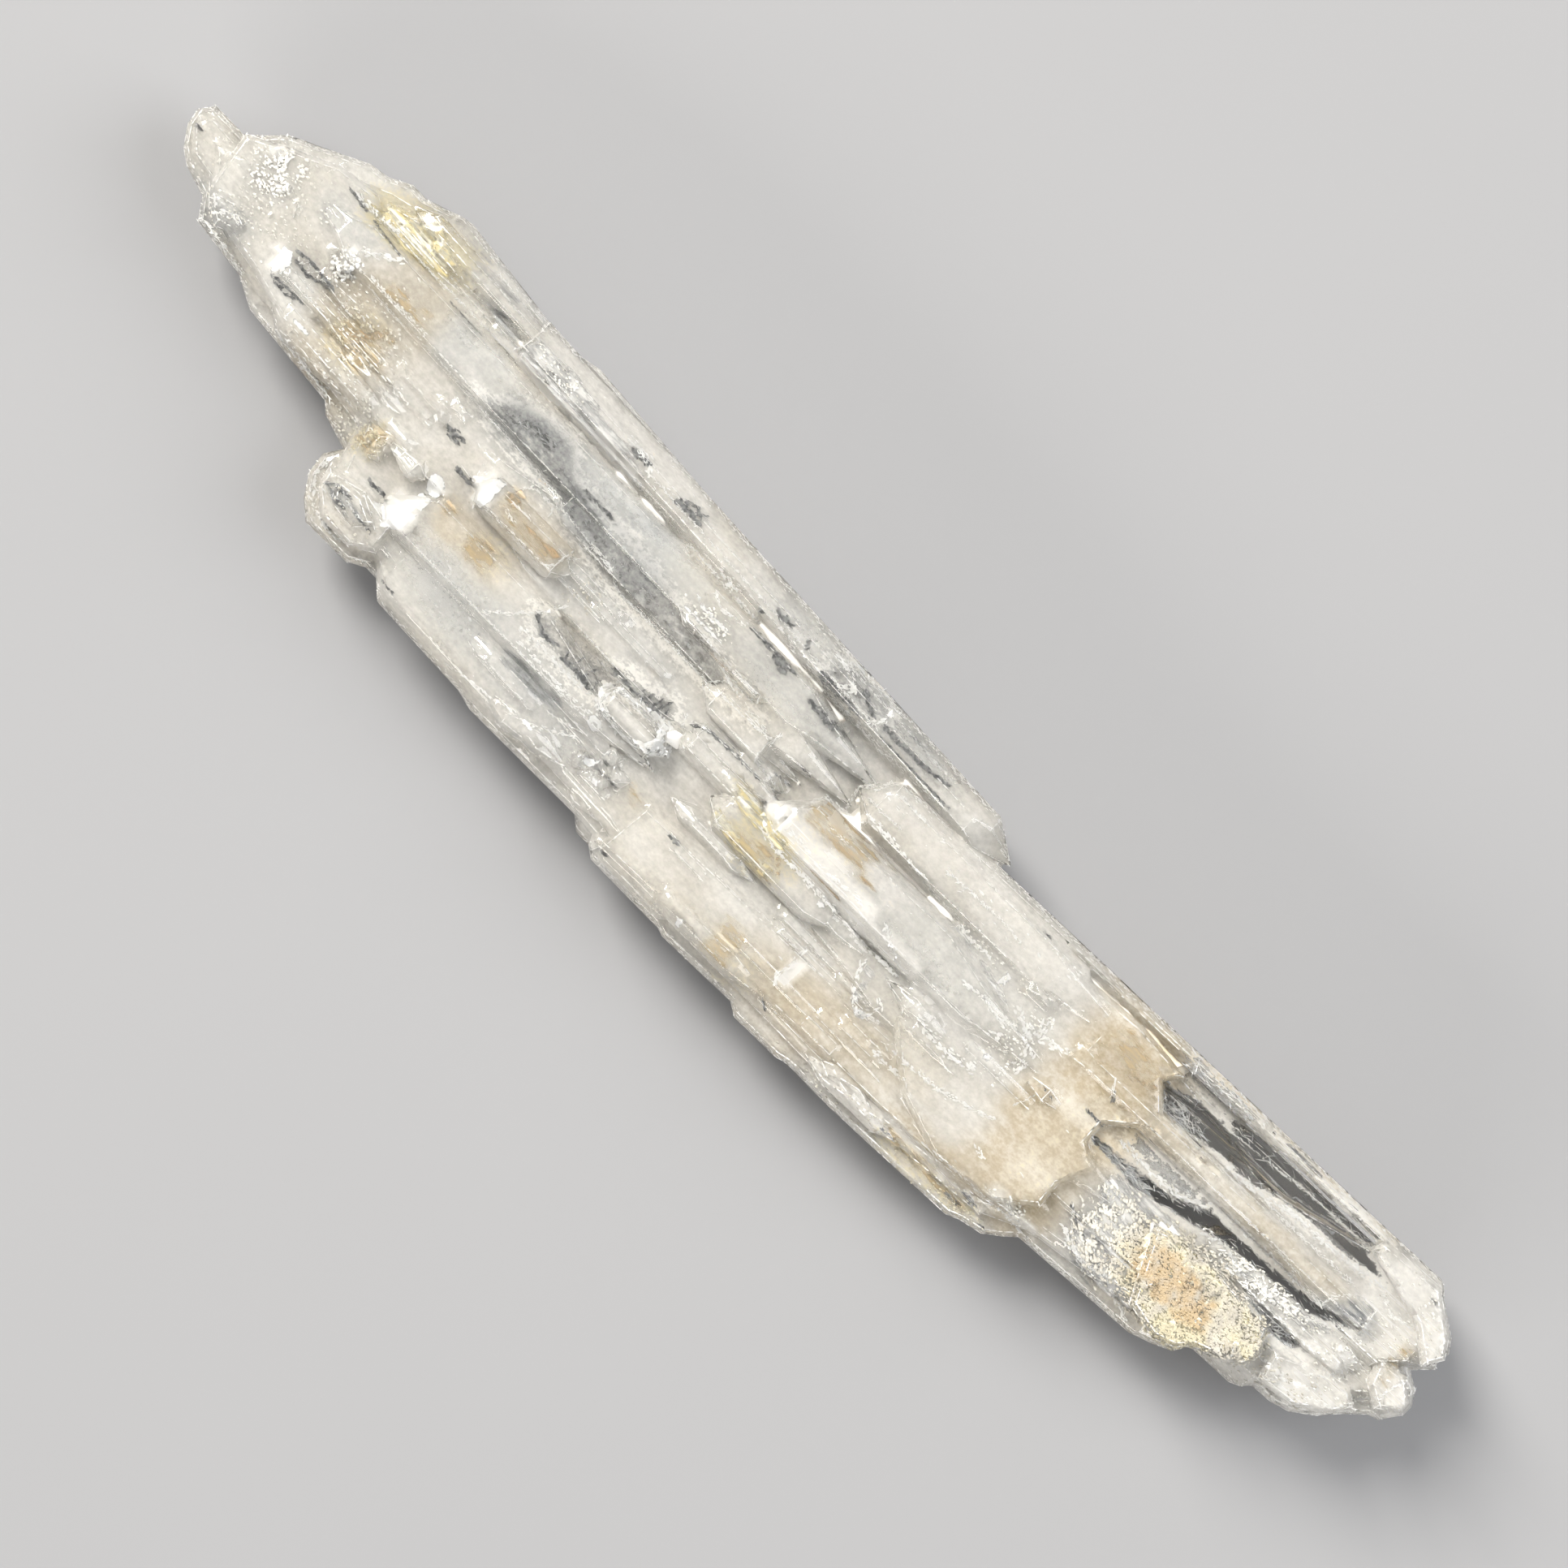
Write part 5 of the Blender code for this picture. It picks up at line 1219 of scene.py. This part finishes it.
class QUARTZ_OT_milk(bpy.types.Operator):
    """Makes the cloudy quartz under the skin: an outer veil and a denser heart"""

    bl_idname = "quartz.milk"
    bl_label = "Milk"

    def execute(self, context):
        settings = context.scene.quartz
        veil = merged_copy("Milk_veil")
        cut_into_cells(settings.cell)
        places, normals = per_corner(veil), per_corner(veil, "normal")
        put_corners(veil, places - normals * inset_between(places, 0.035 * MM, 0.07 * MM, 0.7 * MM))
        store_milk(veil, settings)
        activate(veil)
        bpy.ops.object.shade_smooth_by_angle(angle=SMOOTH_ANGLE)
        finish(veil, veil_finish(settings))

        heart = merged_copy("Milk_heart")
        apply_modifier(heart, "REMESH", mode="VOXEL", voxel_size=HEART_CELL)
        places, normals = per_corner(heart), per_corner(heart, "normal")
        put_corners(heart, places - normals * inset_between(places, 0.2 * MM, 0.25 * MM, 0.8 * MM))
        store_milk(heart, settings)
        open_windows(heart)
        bpy.ops.object.shade_smooth()
        finish(heart, heart_finish())
        return {"FINISHED"}


class QUARTZ_OT_needles(bpy.types.Operator):
    """Makes the needles that fringe the clear windows"""

    bl_idname = "quartz.needles"
    bl_label = "Needles"

    def execute(self, context):
        tree, chance = skin_tree(), random.Random(SEED)
        placings = []
        shares = [thicket.strength for thicket in THICKETS]
        fringes = [window.fringe for window in WINDOWS]
        while len(placings) < context.scene.quartz.needles:
            if chance.random() < THICKET_SHARE:
                along, across = place_in(chance.choices(THICKETS, shares)[0], chance)
            else:
                along, across = place_on_rim(chance.choices(WINDOWS, fringes)[0].outline, chance)
            found = top_of(tree, along, across)
            thickness = depth_under(tree, found[0]) if found else 0.0
            if thickness < THINNEST:
                continue
            sunk = chance.uniform(0.05, 0.45) * min(thickness, 2 * MM)
            length = chance.uniform(0.08, 0.5) * MM
            width = chance.uniform(0.008, 0.03) * MM
            way = fan_direction(along, chance.gauss(0, 0.4)) + Vector((0, 0, chance.gauss(0, 0.2)))
            size = (length, width, width)
            placings.append(lying(found[0] + sunk * DOWN, way, -DOWN, size, chance.random()))
        piece = scatter("Needles", hexagonal_seed("Needle", 0.3), placings)
        frost_and_painted_light = frost_and_painted_light_finish("Frosted needles", (0.8, 0.82, 0.84), (0.97, 0.96, 0.94), 0.3 * MM)
        finish(piece, frost_and_painted_light)
        return {"FINISHED"}


class QUARTZ_OT_edges(bpy.types.Operator):
    """Makes the white lines along the sharp edges of the crystals, partly bruised quartz and partly painted
    highlight, and the painted rim light along the outline
    """

    bl_idname = "quartz.edges"
    bl_label = "Bruised and highlit edges"

    def execute(self, context):
        guide = merged_copy("Edge_guide")
        form = bmesh.new()
        form.from_mesh(guide.data)
        chance = random.Random(SEED + 1)
        placings = splinters_on_edges(form, chance)
        form.free()
        bpy.data.objects.remove(guide)
        # Painted rim light: white splinters along the outline as seen from above.
        placings += rim_light_splinters(skin_tree(), chance)
        piece = scatter("Bruised_and_highlit_edges", flake_seed("Splinter"), placings)
        frost_and_painted_light = frost_and_painted_light_finish("Bruised quartz and painted highlight", (0.9, 0.89, 0.86), (1.0, 0.99, 0.97), 0.5 * MM)
        finish(piece, frost_and_painted_light)
        return {"FINISHED"}


class QUARTZ_OT_veins(bpy.types.Operator):
    """Makes the bright veins with their painted edge highlights, the dark splinters of painted shade in clear
    slits, and the white faces and painted highlights that lie buried under the skin
    """

    bl_idname = "quartz.veins"
    bl_label = "Veins and buried faces"

    def execute(self, context):
        tree, chance = skin_tree(), random.Random(SEED + 4)
        # Bright veins, partly painted highlights along edges and rims.
        placings = splinters_along(VEINS_AND_EDGE_HIGHLIGHTS, tree, chance, VEIN_STEP)
        piece = scatter("Veins_and_edge_highlights", flake_seed("Vein_splinter"), placings)
        frost_and_painted_light = frost_and_painted_light_finish("Bright veins and painted edge highlights", (0.9, 0.89, 0.86), (1.0, 1.0, 0.98), 0.35 * MM)
        finish(piece, frost_and_painted_light)

        # Painted shade: dark splinters where the clear slits look dark.
        placings = splinters_along(SHADED_SLITS, tree, chance, SHADED_SLIT_STEP, SHADED_SLIT_BOLDNESS)
        piece = scatter("Shaded_slits", flake_seed("Shaded_slit_splinter"), placings)
        frost_and_painted_light = frost_and_painted_light_finish("Painted shade in slits", (0.13, 0.13, 0.13), (0.36, 0.36, 0.35), 0.15 * MM)
        finish(piece, frost_and_painted_light)

        # Painted highlights: white sheets where facets glare, among real white crystals and crushed steps.
        piece = draped("White_and_highlit_faces", WHITE_AND_HIGHLIT_FACES, HIGHLIT_FACE_DEPTH, tree)
        frost_and_painted_light = frost_and_painted_light_finish("White faces and painted highlights", (0.93, 0.93, 0.91), (1.0, 1.0, 0.99), 0.15 * MM, True)
        finish(piece, frost_and_painted_light)
        return {"FINISHED"}


class QUARTZ_OT_stains(bpy.types.Operator):
    """Makes the films of iron stain and of thin pale and grey cloud on buried faces and in cracks"""

    bl_idname = "quartz.stains"
    bl_label = "Iron stains"

    def execute(self, context):
        tree = skin_tree()
        stain, cloud = "iron_stain", "veil"
        for name, shapes, slot, colour, pale, strength, reach in (
            ("Brown_stains", BROWN_FACES, stain, (0.58, 0.44, 0.28), (0.77, 0.67, 0.51), 0.72, 7.0),
            ("Tan_stains", TAN_FACES, stain, (0.76, 0.62, 0.4), (0.88, 0.8, 0.64), 0.36, 1.6),
            ("Yellow_stains", YELLOW_FACES, stain, context.scene.quartz.yellow, (0.96, 0.93, 0.8), 0.8, 3.0),
            ("Pale_films", PALE_FACES, cloud, (0.88, 0.87, 0.84), (0.72, 0.715, 0.7), 0.8, 2.5),
            ("Grey_films", GREY_FACES, cloud, (0.3, 0.31, 0.32), (0.55, 0.57, 0.58), 0.4, 2.0),
        ):
            film = draped(name, shapes, FILM_DEPTH, tree)
            finish(film, stain_finish(name.replace("_", " "), colour, pale, strength, reach))
        return {"FINISHED"}


class QUARTZ_OT_flecks(bpy.types.Operator):
    """Makes the bright flecks and small cracks under the skin"""

    bl_idname = "quartz.flecks"
    bl_label = "Flecks"

    def execute(self, context):
        tree, chance = skin_tree(), random.Random(SEED + 2)
        placings = []
        shares = [patch.reach * patch.breadth + 0.05 for patch in BRIGHT_PATCHES]
        while len(placings) < context.scene.quartz.flecks:
            if chance.random() < BRIGHT_SHARE:
                along, across = place_in(chance.choices(BRIGHT_PATCHES, shares)[0], chance)
            else:
                along, across = chance.uniform(0.5, 49.5), chance.uniform(-5, 5)
                if noise.noise(spot(along, across, 2) / (1.1 * MM)) < chance.uniform(-0.1, 0.5):
                    continue
                here = np.array([along]), np.array([across])
                if any(depth_in(window.outline, *here)[0] > 0 for window in WINDOWS):
                    continue
            found = top_of(tree, along, across)
            if found is None or depth_under(tree, found[0]) < THINNEST:
                continue
            place, normal = found
            sunk = chance.uniform(0.03, 0.2) * MM
            size = chance.uniform(0.04, 0.2) * MM * (0.5 + chance.random() ** 3)
            flat = (size, size * chance.uniform(0.15, 0.5), 0.008 * MM)
            back = normal + Vector((chance.gauss(0, 0.4), chance.gauss(0, 0.4), 0))
            way = fan_direction(along, chance.gauss(0, 0.25))
            placings.append(lying(place - normal * sunk, way, back, flat))
        piece = scatter("Flecks", flake_seed("Fleck"), placings)
        frost_and_painted_light = frost_and_painted_light_finish("Bright flecks", (0.93, 0.92, 0.9), (1.0, 1.0, 0.98), 0.4 * MM)
        finish(piece, frost_and_painted_light)
        return {"FINISHED"}


class QUARTZ_OT_crust(bpy.types.Operator):
    """Makes the tiny crystals crowded on the rough growth"""

    bl_idname = "quartz.crust"
    bl_label = "Crust"

    def execute(self, context):
        settings = context.scene.quartz
        tree, chance = skin_tree(), random.Random(SEED + 3)
        placings, whites = [], []
        shares = [bed.share for bed in CRUST_BEDS]
        while len(placings) < settings.crystals:
            bed = chance.choices(CRUST_BEDS, shares)[0]
            along, across = place_in(bed.patch, chance)
            found = top_of(tree, along, across)
            if found is None:
                continue
            place, normal = found
            if noise.noise(place / (0.4 * MM)) < chance.uniform(-0.5, 0.3) - (bed.share > CROWDED_SHARE):
                continue
            length = bed.largest * chance.uniform(0.35, 1.0) * MM
            width = length * chance.uniform(0.35, 0.7)
            lean = Vector((chance.gauss(0, 0.4), chance.gauss(0, 0.4), chance.gauss(0, 0.2)))
            flat = fan_direction(along, math.radians(bed.patch.turn)) * chance.choice((-1, 1))
            way = (normal * bed.upright + flat * (1 - bed.upright) + lean * 0.8).normalized()
            root = place - normal * width * 0.3
            if (root + way * length / 2).z > HIGH[2] - HEADROOM:
                continue
            placings.append(lying(root, way, normal, (length, width, width), chance.uniform(0, 1)))
            whites.append(bed.white * chance.uniform(0.4, 1.2))
        piece = scatter("Crust", hexagonal_seed("Crust_crystal", 0.22), placings)
        places = per_corner(piece)
        spread = wavered(places, CRUST_WAVER)
        store(piece, "white", np.repeat(whites, len(places) // len(placings)))
        store(piece, "yellow", cover(YELLOW_PATCHES, spread, 0.8))
        store(piece, "rust", cover(RUST_PATCHES, spread, 0.8))
        finish(piece, crust_finish(settings))
        return {"FINISHED"}


# ---------------------------------------------------------------- stage

VIEW_TURN = math.radians(46.3)
VIEW_CENTRE = (0.13 * MM, 0.498 * MM)
FRAME_WIDTH = 44.17 * MM
WIDEST = 2.0 * MM  # height at which the outline is widest, where the frame's width is measured
LENS, SENSOR = 100.0, 36.0


def area_light(name, place, size, power, colour):
    """A soft box that faces the crystals, its size across and along Y."""
    light = bpy.data.lights.new(name, "AREA")
    light.shape, light.size, light.size_y, light.energy, light.color = "RECTANGLE", *size, power, colour
    lamp = linked(name, light)
    lamp.location = place
    lamp.rotation_euler = (-Vector(place)).to_track_quat("-Z", "Y").to_euler()


class QUARTZ_OT_stage(bpy.types.Operator):
    """Lays the pale floor and sets the soft lights, the sky and the camera"""

    bl_idname = "quartz.stage"
    bl_label = "Stage"

    def execute(self, context):
        scene, settings = context.scene, context.scene.stage
        deselect_all()
        bpy.ops.mesh.primitive_plane_add(size=3.0)
        floor = context.object
        floor.name = "Floor"
        floor.data.transform(Matrix.Translation((0, 0, LOW[2] - FLOOR_GAP)))
        paint = Paint("Pale floor")
        tones = [[channel * share for channel in settings.floor] for share in (0.98, 1.02)]
        paint.set(Base_Color=paint.blend(paint.fog(paint.place(), 40.0, 3.0, 0.5), *tones), Roughness=0.9)
        floor.data.materials.append(paint.material)

        key = settings.key_power
        area_light("Key", (-0.38, 0.12, 0.36), (0.2, 0.32), key, (1.0, 0.97, 0.92))
        area_light("Fill", (0.34, 0.26, 0.36), (0.4, 0.4), key * 0.45, (0.97, 0.98, 1.0))
        area_light("Low", (0.1, -0.52, 0.2), (0.6, 0.12), key * 0.4, (1.0, 0.98, 0.95))

        world = bpy.data.worlds.new("Soft sky")
        world.use_nodes = True
        sky = world.node_tree.nodes["Background"]
        sky.inputs["Color"].default_value = (0.97, 0.98, 1.0, 1.0)
        sky.inputs["Strength"].default_value = settings.sky_strength
        scene.world = world

        camera = bpy.data.cameras.new("Camera")
        camera.lens, camera.sensor_width, camera.clip_start = LENS, SENSOR, 0.001
        viewer = linked("Camera", camera)
        viewer.location = (*VIEW_CENTRE, LOW[2] + WIDEST + FRAME_WIDTH * LENS / SENSOR)
        viewer.rotation_euler = (0.0, 0.0, VIEW_TURN)
        scene.camera = viewer

        scene.view_settings.view_transform = "Standard"
        scene.cycles.max_bounces = 10
        scene.cycles.transmission_bounces = 10
        scene.cycles.diffuse_bounces = 4
        scene.cycles.transparent_max_bounces = 16
        return {"FINISHED"}


class QUARTZ_PT_panel(bpy.types.Panel):
    """Lists the settings and the steps that make the crystals"""

    bl_idname = "QUARTZ_PT_panel"
    bl_label = "Quartz"
    bl_space_type = "VIEW_3D"
    bl_region_type = "UI"
    bl_category = "Quartz"

    def draw(self, context):
        column = self.layout.column()
        for group in (context.scene.quartz, context.scene.stage):
            for name in group.__annotations__:
                column.prop(group, name)
        for step in STEPS:
            column.operator(step.bl_idname)


STEPS = (
    QUARTZ_OT_skin, QUARTZ_OT_milk, QUARTZ_OT_needles, QUARTZ_OT_edges, QUARTZ_OT_veins, QUARTZ_OT_stains,
    QUARTZ_OT_flecks, QUARTZ_OT_crust, QUARTZ_OT_stage,
)
CLASSES = (QuartzSettings, StageSettings, *STEPS, QUARTZ_PT_panel)


def register():
    for made in CLASSES:
        bpy.utils.register_class(made)
    bpy.types.Scene.quartz = PointerProperty(type=QuartzSettings)
    bpy.types.Scene.stage = PointerProperty(type=StageSettings)


def unregister():
    del bpy.types.Scene.stage
    del bpy.types.Scene.quartz
    for made in reversed(CLASSES):
        bpy.utils.unregister_class(made)


def main():
    register()
    bpy.ops.quartz.skin()
    bpy.ops.quartz.milk()
    bpy.ops.quartz.needles()
    bpy.ops.quartz.edges()
    bpy.ops.quartz.veins()
    bpy.ops.quartz.stains()
    bpy.ops.quartz.flecks()
    bpy.ops.quartz.crust()
    bpy.ops.quartz.stage()


if __name__ == "__main__":
    main()
